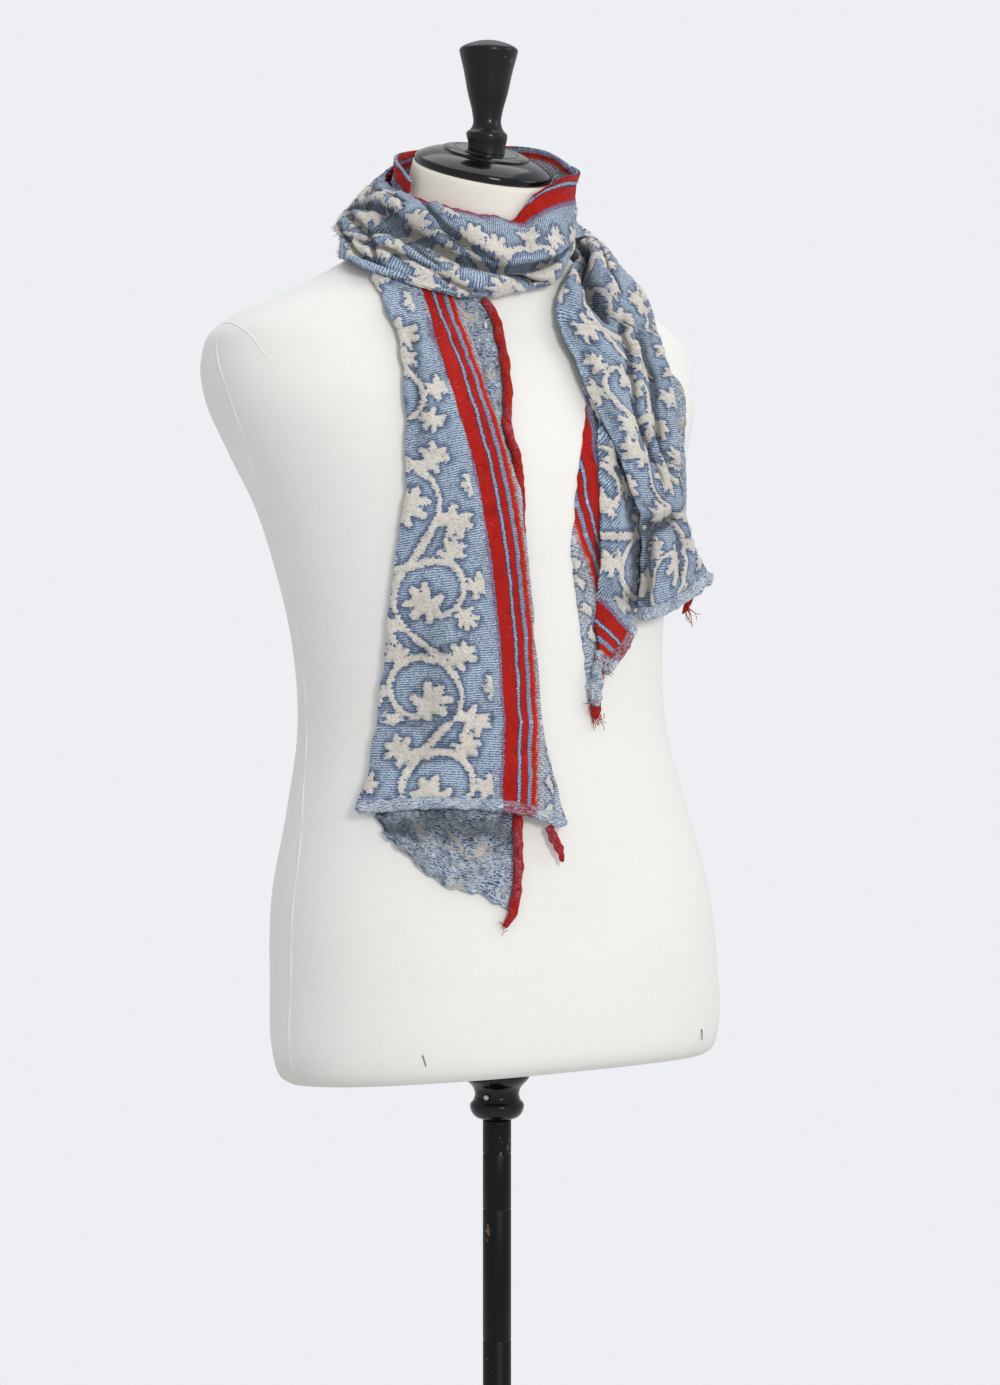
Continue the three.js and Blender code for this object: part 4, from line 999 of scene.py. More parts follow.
NECK_BAND = Table("turn topR topH middleR middleH lowR lowH", """
    80 76 12 79 -8 80 -34
    105 75 16 78 -6 79 -34
    125 75 14 78 -8 79 -34
    150 74 8 77 -12 78 -34
    180 73 2 76 -16 77 -34
    205 73 -1 75 -18 75 -36
    225 73 -2 73 -18 71 -34
    240 72 -3 70 -18 68 -33
    256 69 -6 68 -20 67 -32
    270 66 -12 66 -22 66 -31
""")
FRONT_LOOP_FOLDS = folds((1.75, 135), """
    -7 7: -95 0.53, -70 0.49, -43 0.53, -16 0.57, 26 0.58
    -5 6.5: -130 0.45, -98 0.42, -68 0.44, -46 0.46, -22 0.51
    -5 6: -16 0.6, 0 0.68, 14 0.78
    -7 7: -135 0.62, -112 0.66, -92 0.7
    4 8: -60 0.66, -30 0.67, -5 0.63
    # The same creases nipped in at the bottom, with the roll above each hanging over it.
    -6 2.2: -92 0.43, -76 0.455, -65 0.482, -50 0.509, -38 0.541, -25 0.553, -11 0.614, 3 0.709, 14 0.78
    3.4 4.2: -84 0.425, -65 0.445, -50 0.472, -38 0.502, -25 0.515, -12 0.55
    -5.4 2.1: -90 0.12, -70 0.25, -58 0.341, -48 0.418, -33 0.486, -22 0.515, -10 0.54
    3 4.5: -70 0.2, -56 0.28, -44 0.37, -30 0.44, -18 0.47
    -4.6 2.1: -30 0.545, -18 0.564, 3 0.559, 20 0.577, 31 0.591, 46 0.6
    2.4 4.6: -18 0.51, 3 0.51, 18 0.53, 32 0.545
    -5 2.3: -139 0.53, -120 0.47, -104 0.432, -91 0.418, -81 0.418, -73 0.436, -62 0.47
    3 4.6: -125 0.42, -104 0.385, -90 0.37, -78 0.375, -68 0.4
    -4.8 2.2: -124 0.465, -111 0.49, -92 0.523, -79 0.559, -73 0.618, -67 0.695, -61 0.75
    -3.8 2.1: -86 0.58, -79 0.536, -75 0.495, -69 0.509, -59 0.541, -51 0.586, -44 0.62, -36 0.66
    2.4 4: -74 0.55, -61 0.585, -52 0.625, -42 0.66
    -3.6 2.1: -90 0.6, -79 0.614, -64 0.618, -49 0.65, -40 0.677, -32 0.709, -20 0.75
    -3.8 2.2: -120 0.53, -104 0.568, -87 0.636, -78 0.691, -69 0.709, -54 0.75
    -3.2 2.1: -100 0.3, -88 0.3, -80 0.33, -72 0.4
    # Bunched small at the right shoulder.
    -4.5 2.8: -139 0.31, -120 0.33, -102 0.29
    -3.6 2.6: -132 0.66, -118 0.7, -100 0.72
    -3.2 2.3: -126 0.36, -112 0.38, -104 0.35
""")
# Each narrow crease of the swag also keeps the light out of its depth.
FRONT_LOOP_FOLDS["shades"] = [(0.85, 1.5, line) for _, width, line in FRONT_LOOP_FOLDS["lines"] if width < 3]
BACK_LOOP_FOLDS = folds((1.75, 160), """
    -9 8: 90 0.5, 125 0.5, 160 0.56, 205 0.5
    -8 8: 110 0.68, 150 0.74, 196 0.7
    -6 7: 135 0.36, 170 0.4, 214 0.4
    -3 2.6: 94 0.5, 125 0.5, 160 0.56, 200 0.5
    -3 2.6: 114 0.685, 150 0.74, 190 0.705
""")
SMOOTH = folds((1, 1), "")  # the standing band is pulled tight and has none


def neck_point(turn, radius, along):
    """A point in the neck's own frame: angle, distance from its axis, distance along it from its top."""
    back = np.cross(neck_axis, [1, 0, 0])
    sine, cosine = np.sin(np.radians(turn)), np.cos(np.radians(turn))
    sideways = (radius * sine)[..., None] * np.array([1.0, 0, 0])
    return NECK_TOP + sideways - (radius * cosine)[..., None] * back + along[..., None] * neck_axis


def through(first, middle, last, share):
    """A quadratic through three values at shares 0, a half and 1."""
    ends = first * (1 - share) * (1 - 2 * share) + last * share * (2 * share - 1)
    return ends + 4 * middle * share * (1 - share)


def through_all(values, down):
    """A smooth curve through values at equal steps of down from 0 to 1, each value its own array."""
    values = np.stack([np.broadcast_to(v, np.shape(down)) for v in values])
    slopes = np.gradient(values, axis=0)
    at = np.clip(np.asarray(down) * (len(values) - 1), -0.5, len(values) - 0.5)
    i = np.clip(np.floor(at).astype(int), 0, len(values) - 2)
    t = at - i
    first, second = (np.take_along_axis(values, k[None], 0)[0] for k in (i, i + 1))
    rise, fall = (np.take_along_axis(slopes, k[None], 0)[0] for k in (i, i + 1))
    start = (1 + 2 * t) * (1 - t) ** 2 * first + t * (1 - t) ** 2 * rise
    return start + t**2 * (3 - 2 * t) * second - t**2 * (1 - t) * fall


def neck_pass(table):
    """From a lip inside the top edge, over it and the outer face, to a lip rolled under the lower edge."""

    def surface(turn, down):
        size = table.at(table.row_of("turn", turn))
        radii = [size["topR"], size["topR"], size["upR"], size["outR"], size["lowR"], size["lowR"] - 9]
        heights = [size["topH"] - 7, size["topH"], size["upH"], size["outH"], size["lowH"], size["lowH"] + 11]
        return neck_point(turn, through_all(radii, down), through_all(heights, down))

    return surface


def standing_band(table):
    """A band from its top edge straight down to its lower one."""

    def surface(turn, down):
        size = table.at(table.row_of("turn", turn))
        radius = through(size["topR"], size["middleR"], size["lowR"], down)
        return neck_point(turn, radius, through(size["topH"], size["middleH"], size["lowH"], down))

    return surface


def wound_place(top_edge, top_share, start):
    """The cloth's own places on a pass: the border follows the pass's folded top edge."""

    def place(points, turn, down):
        fall = run_along(points)
        row, part = divmod(top_share * (len(points) - 1), 1)
        above, below = fall[int(row)], fall[int(row) + 1]
        x = np.interp(turn, *zip(*top_edge)) - (fall - above - part * (below - above))
        return x, start + run_along(points[len(points) // 2]) + 0 * fall

    return place


def folded_behind(top_edge):
    """The places on the face behind, which is the cloth's other half down to where it was folded."""
    return lambda x, y, turn, down: (np.where(down < 0.55, 2 * np.interp(turn, *zip(*top_edge)) - x, x), y)


# How far outside the wide red stripe's inner edge each pass is folded, by angle.
BACK_EDGE = [(80, -9), (104, -7), (128, 6), (150, 10), (190, 4), (220, -4)]
FRONT_EDGE = [
    (-140, -4), (-84, -3), (-72, 2.4), (-40, 2.2), (-24, 1.2), (-14, -1.5),
    (-5, 2), (1, 11), (12, 15), (30, 18), (47, 20), (80, 21),
]
BAND_EDGE = [(80, 21), (125, 20), (180, 17), (225, 14), (269, 13)]
BACK_RUN, FRONT_RUN = 272.0, 361.0  # the runs of the two passes, with what crosses out of sight


def wound_shell(name, surface, creases, turns, edge, start, top_share=0.2 / 0.9, low=0.9):
    """A stretch round the neck, right side out on both its faces."""
    place = wound_place(edge, top_share, start)
    return knit_shell(name, surface, creases, turns, (0, low), place, folded_behind(edge), (0, 0))


back_loop = wound_shell("scarf_back_loop", neck_pass(BACK_LOOP), BACK_LOOP_FOLDS, (80.3, 220), BACK_EDGE, 0)
front_loop = wound_shell(
    "scarf_front_loop", neck_pass(FRONT_LOOP), FRONT_LOOP_FOLDS, (-140, 79.7), FRONT_EDGE, BACK_RUN
)
neck_band = wound_shell(
    "scarf_neck_band", standing_band(NECK_BAND), SMOOTH, (80.3, 269), BAND_EDGE, BACK_RUN + FRONT_RUN, 0, 1
)
finish_knit(
    back_loop
)
finish_knit(front_loop)
finish_knit(neck_band)

# ---------------------------------------------------------------- the long end
# It hangs from the standing band down the right of the chest, doubled along its length: the half in
# front carries the striped border down its middle, and the half under it shows its wrong side below.
HANGING_COLUMNS = "zLeft zMiddle zRight left right offLeft offMiddle offRight"
LONG_END_FRONT = Table(HANGING_COLUMNS, """
    1413 1411 1408 -75 -46 6.9 7 6.9
    1399 1398 1396 -66 -40 6.9 7.2 6.9
    1385 1385 1385 -59 -35 7.4 8 7.4
    1367 1367 1367 -54.3 -31 9 11 10
    1350 1350 1350 -50.5 -27.5 10 13 11
    1315 1315 1315 -48 -24.5 10 13 11
    1275 1275 1275 -48 -21.5 10 12 11
    1240 1240 1240 -49 -18 10 12 11
    1205 1205 1205 -52 -16.5 10 12 11
    1165 1165 1165 -56 -15 10 12 11
    1120 1120 1120 -60 -14 10 12 11
    1070 1070 1070 -64.5 -12.5 10 12 11
    1025 1025 1020 -67.5 -10 10 13 12
    990 995 978 -70.5 -6 12 14 13
""")
LONG_END_UNDER = Table(HANGING_COLUMNS, """
    1394 1394 1394 -58 -31 3.4 3.6 3.4
    1372 1372 1372 -53 -18.5 3.4 4 3.4
    1345 1345 1345 -48 -16 3.4 4 3.4
    1314 1314 1314 -46 -17 3.4 4 3.4
    1281 1281 1281 -46 -19.6 3.4 4 3.4
    1258 1258 1258 -46.5 -18 3.4 4 3.4
    1235 1235 1235 -47.5 -18 3.4 4 3.4
    1205 1205 1205 -50 -18.5 3.4 4 3.4
    1165 1165 1165 -54 -19.5 3.4 4 3.4
    1120 1120 1120 -58 -20.5 3.4 4 3.4
    1070 1070 1070 -62.5 -22 3.4 4 3.4
    1025 1025 1025 -65.5 -24 3.4 4 3.4
    990 980 972 -67 -26 4 5 3.4
    978 940 938 -65.5 -27 4 5 3.4
    972 927 910 -64 -29.5 4 4 3.4
""")
LONG_END_FOLDS = folds((95, 35), """
    -3 8: 0.16 3, 0.14 5, 0.1 7
    2.5 10: 0.5 3.5, 0.45 6, 0.5 9
    -2.5 12: 0.2 9, 0.3 11, 0.25 12.5
    2 10: 0.72 8, 0.7 10.5, 0.75 13
""")
# The shades of the under half lie below the front half's hem, and along its right edge.
LONG_UNDER_FOLDS = folds((90, 34), """
    2.2 6: 0.1 11.6, 0.3 12.4, 0.5 13.4
    -2 5: 0.3 11.4, 0.5 12.3, 0.8 13.2
    2 7: 0.5 11.2, 0.75 12.4, 0.9 13.6
""", shades="""
    0.9 9: -0.4 12.9, 0 12.8, 0.25 12.3, 0.5 12.05, 0.75 12.1, 1.4 12.3
    0.5 6: 0.8 1.5, 0.72 4, 0.85 5.5, 0.97 7.5
""")


def hanging(table):
    """across runs 0..1 from the left to the right edge, down counts the table's rows."""

    def surface(across, down):
        size = table.at(down)
        height = through(size["zLeft"], size["zMiddle"], size["zRight"], across)
        off = through(size["offLeft"], size["offMiddle"], size["offRight"], across)
        return off_form(size["left"] + (size["right"] - size["left"]) * across, height, off)

    return surface


def drawn_up(surface, low_row, rise, across_at, width):
    """The same stretch with its last rows drawn up near one place and scalloped all along."""

    def shaped(across, down):
        share = np.clip((down - low_row) / 2.0, 0, 1)
        lift = rise * np.exp(-(((across - across_at) / width) ** 2))
        lift = lift + 1.2 * np.sin(across * 34 + 1) + 0.4 * np.sin(across * 71)
        return surface(across, down) + (share * lift)[..., None] * np.array([0, 0, 1.0])

    return shaped


def line_on_form(turns_and_heights, off):
    """A line from its corners' angles and heights, held off the canvas."""
    return off_form(*np.array(turns_and_heights, float).T, off)


# The wide red stripe's inner edge.
RED_LINE = line_on_form(
    [(-47.9, 1384), (-36.2, 1315), (-30.7, 1247), (-28, 1181), (-26.9, 1118), (-27, 1054), (-30.6, 987)], 11.7
)


def row_places(points):
    """Lengths along a grid: across each of its rows, and down it, the same for a whole row."""
    fall = np.linalg.norm(np.diff(points, axis=0), axis=-1).mean(1)
    run = run_along(points, 1)
    return run, np.concatenate([[0], np.cumsum(fall)])[:, None] + 0 * run


def beside_line(points, corners):
    """How far places lie beside a line on the form, above 0 on its left as it runs, and how far along it."""
    best = np.full(points.shape[:-1], 1e9)
    beside, along = np.zeros(best.shape), np.zeros(best.shape)
    out = unit(points * [1, 1, 0] - [0, 30, 0])
    run = run_along(corners)
    last = len(corners) - 2
    for k, (first, second) in enumerate(zip(corners[:-1], corners[1:])):
        span = run[k + 1] - run[k]
        way = (second - first) / span
        t = np.clip(((points - first) @ way) / span, -1e9 if k == 0 else 0, 1e9 if k == last else 1)
        gap = points - first - (t * span)[..., None] * way
        far = np.linalg.norm(gap, axis=-1)
        hand = np.sign((np.cross(way, gap) * out).sum(-1))
        beside = np.where(far < best, hand * far, beside)
        along = np.where(far < best, run[k] + t * span, along)
        best = np.minimum(far, best)
    return beside, along


# Where the two halves lie on the cloth: the front one's border keeps to the stripe's line, and the
# under one runs back from the front one's edge.
def long_front_place(points, across, down):
    beside, along = beside_line(points, RED_LINE)
    return beside, along + 900


def long_under_place(points, across, down):
    run, fall = row_places(points)
    return -5 - (run[:, -1:] - run), fall + 900


long_front = knit_shell(
    "scarf_long_end_front", hanging(LONG_END_FRONT), LONG_END_FOLDS, (0, 1), (0, LONG_END_FRONT.rows - 1),
    long_front_place, wavy=1.2, curl=1.8,
)
finish_knit(long_front)
long_under = knit_shell(
    "scarf_long_end_under", drawn_up(hanging(LONG_END_UNDER), 12, 9.5, 0.74, 0.2), LONG_UNDER_FOLDS,
    (0, 1), (0, LONG_END_UNDER.rows - 1), long_under_place, sides=(1, 0), wavy=1.7, curl=1.0, rough=2.0,
)
finish_knit(long_under)

# ---------------------------------------------------------------- the short end
# It falls from the swag's left over the shoulder and down the chest, doubled too, with a pleat and
# the half under it swung forwards, so that the border's stripes turn in towards the middle.
SHORT_END_FRONT = Table(HANGING_COLUMNS, """
    1432 1420 1402 78.8 78.2 10 29 9
    1424 1411 1390 50 68 9 25 13
    1408 1394 1373 30 61 9 21 15
    1388 1372 1352 18 57 12 18 15
    1360 1353 1342 15.5 54.5 14 16 15
    1330 1326 1322 16 52 14 16 15
    1300 1300 1298 17 49 14 16 15
    1270 1270 1270 20 48 14 16 15
    1240 1240 1240 24 49 14 16 15
    1210 1210 1212 28.5 53 14 16 16
    1178 1182 1192 31 60 14 15 22
    1143 1150 1176 31.5 65 13 14 33
""")
SHORT_END_PLEAT = Table(HANGING_COLUMNS, """
    1314 1314 1314 17 22 6.8 8 7
    1290 1290 1290 18.5 25 6.8 10 7
    1270 1270 1270 15.5 28 6.8 10.5 6.8
    1240 1240 1240 14 31 6.8 10.5 6.8
    1210 1210 1210 13.7 34 6.8 10.5 6.8
    1178 1178 1178 15 35 6.8 10.5 6.8
    1145 1145 1150 13 34 6.8 10.5 6.8
    1095 1116 1144 15.5 33 7 10 7
""")
SHORT_END_UNDER = Table(HANGING_COLUMNS, """
    1330 1330 1330 24 27 3.4 3.6 3.4
    1300 1300 1300 17.2 26 3.4 3.6 3.4
    1270 1270 1270 11 26 3.4 3.6 3.4
    1235 1235 1235 6 26 3.4 3.6 3.4
    1190 1190 1190 3.8 26 3.4 3.6 3.4
    1155 1155 1155 6 25 3.4 3.6 3.4
    1120 1120 1120 9 22 3.4 3.6 3.4
    1085 1085 1085 11 17 3.4 3.6 3.4
    1066 1065 1065 12 15.5 3.4 3.6 3.4
""")
SHORT_END_REAR = Table(HANGING_COLUMNS, """
    1345 1345 1340 40 55 3.4 5 7
    1320 1320 1320 40 60 3.4 5 8
    1295 1295 1295 40 57.5 3.4 5 8
    1270 1270 1270 40 55.5 3.4 5 8
    1245 1245 1245 40 58.5 3.4 5 8
    1220 1220 1220 42 62 3.4 5 9
    1200 1200 1205 45 62 3.4 5 10
""")
SHORT_END_FOLDS = folds((95, 30), """
    -13 8: 0.06 0, 0.15 1.5, 0.35 2.4, 0.6 3.3
    # The crease off the shoulder closes to a deep slot.
    -11 3.6: 0.04 -0.6, 0.08 0.4, 0.17 1.6, 0.31 2.35, 0.48 2.85, 0.6 3.6
    5 5: 0.16 0.2, 0.3 1.4, 0.44 2, 0.58 2.5
    4 6: 0.02 1.6, 0.1 2.4, 0.25 3.2
    # The middle bulges down to a lip, and two sharper ridges run beside it with a hollow between.
    5 13: 0.41 2.5, 0.36 4.2, 0.3 5.6, 0.2 6.8, 0.22 7.7, 0.34 8.5
    4.6 2.8: 0.74 2.2, 0.74 4.2, 0.64 5.1, 0.58 5.75, 0.48 6.55, 0.53 7.3, 0.66 8.4
    4 2.8: 0.93 2.2, 0.99 4.3, 0.94 5.8, 0.9 6.7, 0.82 7.6, 0.71 8.6
    -3 3.4: 0.67 2.4, 0.67 4.2, 0.57 5.1, 0.51 5.75, 0.41 6.55, 0.45 7.3, 0.58 8.4
    -3.4 2.6: 0.3 -0.4, 0.4 0.6, 0.52 1.5, 0.66 2.2
    -5 6: 0.85 3.2, 0.82 5.2, 0.75 6.2, 0.68 7, 0.7 7.9
    3.5 4: -0.1 8.75, 0.2 8.75, 0.45 8.6, 0.75 8.3
    -6 4.5: -0.05 9.15, 0.2 9.15, 0.45 9.05, 0.75 8.75
    # Below the lip the cloth hangs in smaller folds.
    4 9: 0.36 9.2, 0.42 10, 0.5 11
    -3 5: 0.62 9, 0.66 9.8, 0.64 10.8
    3 7: 0.84 8.6, 0.86 9.6, 0.84 10.8
    -2.6 3: 0.2 4.2, 0.36 4.9, 0.5 5
""", shades="""
    0.8 5: 0.04 -0.8, 0.08 0.4, 0.17 1.6, 0.31 2.35, 0.48 2.85, 0.62 3.7
    0.45 6: -0.1 9.2, 0.2 9.15, 0.45 9.05, 0.8 8.7
    1 9: 0.1 8.4, 0.08 9.6, 0.08 10.4, 0.12 12.5
    0.5 8: 1.04 2.4, 1.08 4.3, 1.05 6, 1.01 7, 0.97 8, 0.95 9.4
    0.55 5: 0.85 2.6, 0.82 5.2, 0.75 6.2, 0.68 7, 0.7 8.4
    0.5 3.6: 0.67 2.2, 0.67 4.2, 0.57 5.1, 0.51 5.75, 0.41 6.55, 0.45 7.3, 0.58 8.6
    0.5 2.6: 0.26 -0.8, 0.4 0.6, 0.52 1.5, 0.7 2.4
    0.35 6: 0.05 3.2, 0.12 4.6, 0.08 6.4, 0.02 8
    0.4 5: -0.2 0.4, -0.05 1.6, 0 2.6
""")
# The pleat and the half under it lie in the shadow of what hangs over them.
PLEAT_FOLDS = folds((52, 32), """
    3.2 7: 0.24 1.4, 0.28 3.2, 0.34 5.2
    -2.4 7: 0.4 1.4, 0.5 2.8, 0.68 4, 0.8 5.6
""", shades="""
    1.1 9: 0.3 -0.4, 0.36 1.2, 0.44 2.2, 0.46 2.8, 0.56 3.4, 0.66 4, 0.74 4.8, 0.78 5.5, 0.76 7
    0.45 7: -0.4 5.6, 0.3 5.75, 0.7 5.9, 1.3 6.2
""")
SHORT_UNDER_FOLDS = folds((45, 33), """
    1.4 6: 0.3 2, 0.34 4, 0.4 5.6
""", shades="""
    1 5: 0.2 -1, 0.28 0.8, 0.37 1.8, 0.46 2.8, 0.47 4, 0.43 5, 0.47 6, 0.47 9
""")
REAR_FOLDS = folds((58, 26), """
    -2 4: 0.7 0.6, 0.76 2.6, 0.7 4.8
""", shades="""
    0.5 7: 0.45 -1, 0.4 7
""")
# The wide red stripe's inner edge on the under half, and on the pleat's corner.
UNDER_LINE = line_on_form([(18.7, 1318), (13.8, 1267), (14, 1227), (16.5, 1207), (21, 1187), (27, 1150)], 3.6)
PLEAT_LINE = line_on_form([(11.8, 1151), (22.9, 1130)], 9)


# Where the four stretches lie on the cloth: plain ground in front and behind, and the border on the
# other two.
def short_front_place(points, across, down):
    run, fall = row_places(points)
    return -10 - run, 60 - fall


def short_rear_place(points, across, down):
    run, fall = row_places(points)
    return -150 - run, 20 - fall


def short_under_place(points, across, down):
    beside, along = beside_line(points, UNDER_LINE)
    return np.minimum(-beside, 50), 40 - along


def short_pleat_place(points, across, down):
    beside, along = beside_line(points, PLEAT_LINE)
    return -beside, along - 150


for part, table, creases, place, flat, rests_on in (
    ("front", SHORT_END_FRONT, SHORT_END_FOLDS, short_front_place, (0.097, 0.345), ["front_loop"]),
    ("pleat", SHORT_END_PLEAT, PLEAT_FOLDS, short_pleat_place, (0.043, 0.21), ["short_end_under"]),
    ("under", SHORT_END_UNDER, SHORT_UNDER_FOLDS, short_under_place, (0.04, 0.277), []),
    ("rear", SHORT_END_REAR, REAR_FOLDS, short_rear_place, (0.06, 0.158), []),
):
    sheet = knit_shell(
        "scarf_short_end_" + part, hanging(table), creases, (0, 1), (0, table.rows - 1), place,
        sides=(1, 0) if part == "rear" else (0, 1), wavy=1.0, curl=1.5,
    )
    finish_knit(sheet)

# ---------------------------------------------------------------- rolled hems, selvedge and curls
# The cut ends roll outwards so that their wrong side shows, the felted red selvedge rolls on itself
# like a cord, and its corners end in little red curls. Nothing is sewn: the knit does it by itself.
knit_roll = marled_wool("jacquard_wool_rolled_hem", "#4f719f", "#cdd7e0", 1.2)

# Felted red: the selvedge yarns, rubbed to a nap, with a little lilac showing through in patches
# 20 mm apart. Its fibres are drawn 1.4 mm apart.
felted_red, add, *_ = start_wool("felted_red_wool")
place = add("TexCoord").outputs["Object"]
fibres = add("TexNoise", place, 700.0, 3.0)
colour = add("Mix", add("MapRange", fibres, 0.3, 0.7), "#7a1512", "#b8261c", **COLOURS)
lilac = add("MapRange", add("TexNoise", place, 45.0, 3.0), 0.5, 0.66)
lilac = add("Math", lilac, add("MapRange", fibres, 0.45, 0.6), **TIMES)
colour = add("Mix", add("Math", lilac, 0.7, **TIMES), colour, "#9c6478", **COLOURS)
finish_wool(add, colour, add("Bump", 0.6, 0.0008, Height=fibres), 0.12)


def beside_edge(surface, across, down, radius, lift):
    """A roll's centre line beside an edge of a stretch, out of the cloth."""
    point = surface(across, down)
    out = facing(surface, across, down)[1]
    away = unit(np.cross(unit(np.gradient(point, axis=0)), out))
    return point + away * (radius + 0.3) + out * lift


def rolled_wool(name, path, radii, x, material, twist, lumps, stands_for=None):
    """A roll of the knit round a path: uneven, and wound round slowly along its length.

    x is the cloth's own place across it, one for the whole roll or one for each step.
    """
    run = run_along(path)[:, None]
    sides = 24
    angle = np.arange(sides) * 2 * np.pi / sides
    wound = angle + twist * run
    uneven = lumps * (0.8 * np.sin(2 * wound) + 0.5 * np.sin(3 * wound + 1.3))
    uneven += 1.1 * lumps * rumple(run * 2.2 + 40, 3 * np.max(radii) * np.sin(angle)[None, :])
    radii = np.broadcast_to(radii, len(path))[:, None] * (1 + uneven)

    def places(line, angle):
        around = angle[None, :] * radii.mean()
        if np.ndim(x):
            across, along = np.broadcast_arrays(x[:, None], around)
        else:
            across, along = np.broadcast_arrays(x + around, run)
        flat = np.stack([across, along], -1).reshape(-1, 2)
        return np.concatenate([flat, flat[:1], flat[-1:]])

    fit_piece(tube(name, path, radii, sides, places), material, stands_for)


def drawn_in(radius, count, ends):
    """Radii of a roll that narrows over its last steps."""
    step = np.arange(count)
    near = np.minimum(step, count - 1 - step) / ends
    return radius * (0.55 + 0.45 * np.sin(np.clip(near, 0, 1) * np.pi / 2))


for stands_for, radius, table, reach, steps, x_of in (
    ("long_end_hem", 4.5, LONG_END_FRONT, 1, 150, lambda path: beside_line(path, RED_LINE)[0]),
    ("short_end_hem", 5.2, SHORT_END_FRONT, 1, 110, lambda path: -10 - run_along(path)),
    ("short_end_pleat_hem", 4.4, SHORT_END_PLEAT, 0.78, 60, lambda path: -beside_line(path, PLEAT_LINE)[0]),
):
    along, last_row = np.linspace(0, reach, steps), np.full(steps, table.rows - 1.0)
    path = beside_edge(hanging(table), along, last_row, radius - 0.6, radius - 4 - CLOTH / 2)
    radii = drawn_in(radius, steps, 5)
    rolled_wool("scarf_" + stands_for, path, radii, x_of(path), knit_roll, 0.16, 0.17, stands_for)

ROLL = 3.8
SELVEDGE_X = 60.0
selvedge_rows = np.linspace(0.55, LONG_END_UNDER.rows - 1, 330)
selvedge = beside_edge(hanging(LONG_END_UNDER), np.ones(330), selvedge_rows[::-1], ROLL - 0.7, 1.1)[::-1]
selvedge_tip = off_form(-31.2, 898.0, 4.0)
bent = np.linspace(0, 1, 9)[1:, None]
selvedge = np.concatenate([selvedge, selvedge[-1] + (selvedge_tip - selvedge[-1]) * bent])
rolled_wool(
    "scarf_long_end_selvedge", selvedge, drawn_in(ROLL, len(selvedge), 10), SELVEDGE_X,
    felted_red, 0.11, 0.11, "long_end_selvedge",
)

CURL_COLUMNS = "height turn off radius"
LONG_END_CORNER = Table(CURL_COLUMNS, """
    973 -13.2 10 2.8
    966 -11.8 9.5 3.6
    956 -9.6 8.8 3.2
    945 -8.2 8.5 1.5
""")
SHORT_END_TASSEL = Table(CURL_COLUMNS, """
    1160 62.8 23.4 2.4
    1154 63 21 3
    1146 63.2 19 2.6
    1137 63.5 15 1.2
""")
SHORT_END_TIP = Table(CURL_COLUMNS, """
    1068 13.6 4.6 2.6
    1062 14 4.2 3.8
    1055 14.6 3.6 2.4
""")
for stands_for, table in (
    ("long_end_corner", LONG_END_CORNER),
    ("short_end_tassel", SHORT_END_TASSEL),
    ("short_end_tip", SHORT_END_TIP),
):
    rows = np.linspace(0, table.rows - 1, 34)
    size = table.at(rows)
    radii = size["radius"] * np.sin(np.clip(np.minimum(rows, rows[::-1]) / 0.25 + 0.35, 0, 1) * np.pi / 2)
    path = off_form(size["turn"], size["height"], size["off"])
    rolled_wool("scarf_" + stands_for, path, radii, SELVEDGE_X, felted_red, 0.35, 0.16, stands_for)

# The half under the short end rolls up on itself at its tip, in a marled tail.
tail_rows = np.linspace(6.3, SHORT_END_UNDER.rows - 1, 60)
tail = hanging(SHORT_END_UNDER)(0.5 + 0 * tail_rows, tail_rows) + [-0.5, -2.6, 0]
tail_radii = np.interp(tail_rows, [6.3, 6.9, 7.4, 8], [2.2, 4.6, 5.2, 3.2])
rolled_wool("scarf_short_end_tail", tail, tail_radii, -40.0, knit_roll, 0.25, 0.2)

# ---------------------------------------------------------------- frayed ends and loose fibres
# Yarn that has worked loose: red threads at the short end's corner and tip and the selvedge's tip,
# and a short nap of blue, grey and red fibres where the swag is bunched and on the fronts of both ends.
def loose_yarn(name, starts, ways, lengths, radius, material):
    """Thin curling strands in one mesh, each from its start along its way."""
    rows, sides = 7, 4
    points, faces = [], []
    share = np.linspace(0, 1, rows)[:, None]
    angle = np.arange(sides)[:, None] * 2 * np.pi / sides
    for start, way, length in zip(starts, ways, lengths):
        bend = unit(np.cross(way, rng.normal(size=3))) * rng.uniform(0.15, 0.5)
        sag = np.array([0, 0, -rng.uniform(0.05, 0.35)])
        path = way * share + bend * np.sin(share * rng.uniform(2, 4.5)) * share + sag * share**2
        path = start + length * path
        ahead = unit(np.gradient(path, axis=0))
        side = unit(np.cross(ahead, [0.31, 0.8, 0.51]))  # any way that no strand runs along
        ring = side[:, None] * np.cos(angle) + np.cross(ahead, side)[:, None] * np.sin(angle)
        ring = path[:, None] + ring * (radius * (1 - 0.5 * share))[..., None]
        base = len(points) * (rows * sides + 2)
        points.append(np.concatenate([ring.reshape(-1, 3), path[[0, -1]]]))
        faces.append([face + base for face in ring_faces(rows, sides)])
    points = np.concatenate(points)
    piece = mesh_piece(name, points, [np.concatenate(group) for group in zip(*faces)], points[:, :2] * 3)
    fit_piece(piece, material)


def fray(name, turn, height, off, spread, aim, count, lengths, radius):
    """Red threads from round one place on the form, each roughly along aim."""
    starts = off_form(turn, height, off) + rng.normal(size=(count, 3)) * spread
    ways = unit(np.array(aim) + rng.normal(size=(count, 3)) * 0.45)
    loose_yarn(name, starts, ways, rng.uniform(*lengths, count), radius, felted_red)


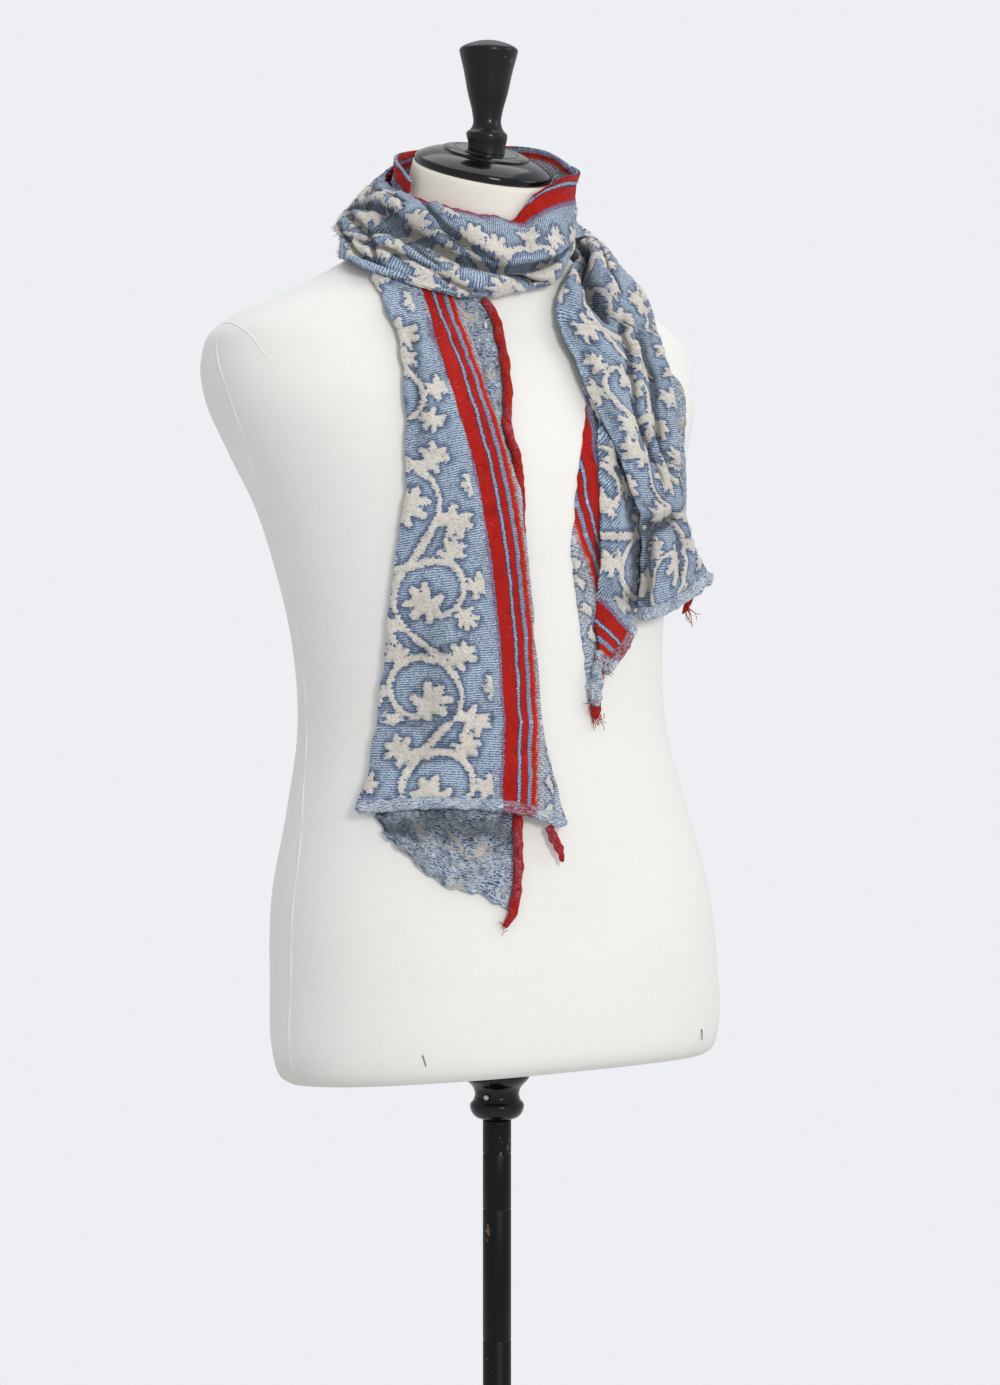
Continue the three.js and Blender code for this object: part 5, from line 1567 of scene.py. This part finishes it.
fray("corner_threads", 63.2, 1144, 18, 1.3, (0.25, -0.2, -1), 9, (7, 16), 0.42)
fray("tip_threads", 14.4, 1058, 5, 2.4, (0.2, -0.25, -1), 16, (4, 9), 0.4)
fray("tip_side_threads", 12.2, 1066, 6, 2.2, (-0.6, -0.5, -0.4), 14, (3, 7), 0.4)
fray("tip_edge_threads", 15.6, 1098, 8, 2.6, (0.5, -0.5, -0.4), 18, (3, 7), 0.4)
slack = np.linspace(0, 1, 30)
slack_path = off_form(16.6 - 1.2 * slack + 0.3 * np.sin(slack * 8), 1100 - 42 * slack, 7 - 2.5 * slack)
rolled_wool("scarf_tip_slack_yarn", slack_path, 1.0, SELVEDGE_X, felted_red, 0.5, 0.3)
fray("selvedge_threads", -31.2, 899, 5.5, 1.2, (-0.7, -0.3, -0.6), 5, (3, 6), 0.3)


def nap(name, piece, count, region, lengths, radius, material):
    """Fibres that stand out of a stretch's outer face, at random places in a region."""
    mesh = bpy.data.objects[piece].data
    at, out = np.empty((2, len(mesh.vertices), 3))
    mesh.vertices.foreach_get("co", at.ravel())
    mesh.vertices.foreach_get("normal", out.ravel())
    at /= MM
    chosen = rng.choice(np.flatnonzero(region(at, out)), count)
    ways = unit(out[chosen] + rng.normal(size=(count, 3)) * 0.7)
    loose_yarn(name, at[chosen] + out[chosen] * 0.3, ways, rng.uniform(*lengths, count), radius, material)


def shoulder_end(at, out):
    return (at[:, 0] < -66) & (out[:, 0] < -0.3)


def shoulder_underside(at, out):
    return shoulder_end(at, out) & (out[:, 2] < -0.2)


def front_face(at, out):
    return out[:, 1] < 0


nap("swag_nap_blue", "scarf_front_loop", 420, shoulder_end, (1.5, 3.4), 0.13, knit_wrong)
nap("swag_nap_red", "scarf_front_loop", 60, shoulder_underside, (2, 4), 0.17, felted_red)
nap("long_end_nap", "scarf_long_end_front", 130, front_face, (2, 4), 0.13, knit_roll)
nap("short_end_nap", "scarf_short_end_front", 130, front_face, (2, 4), 0.13, knit_roll)
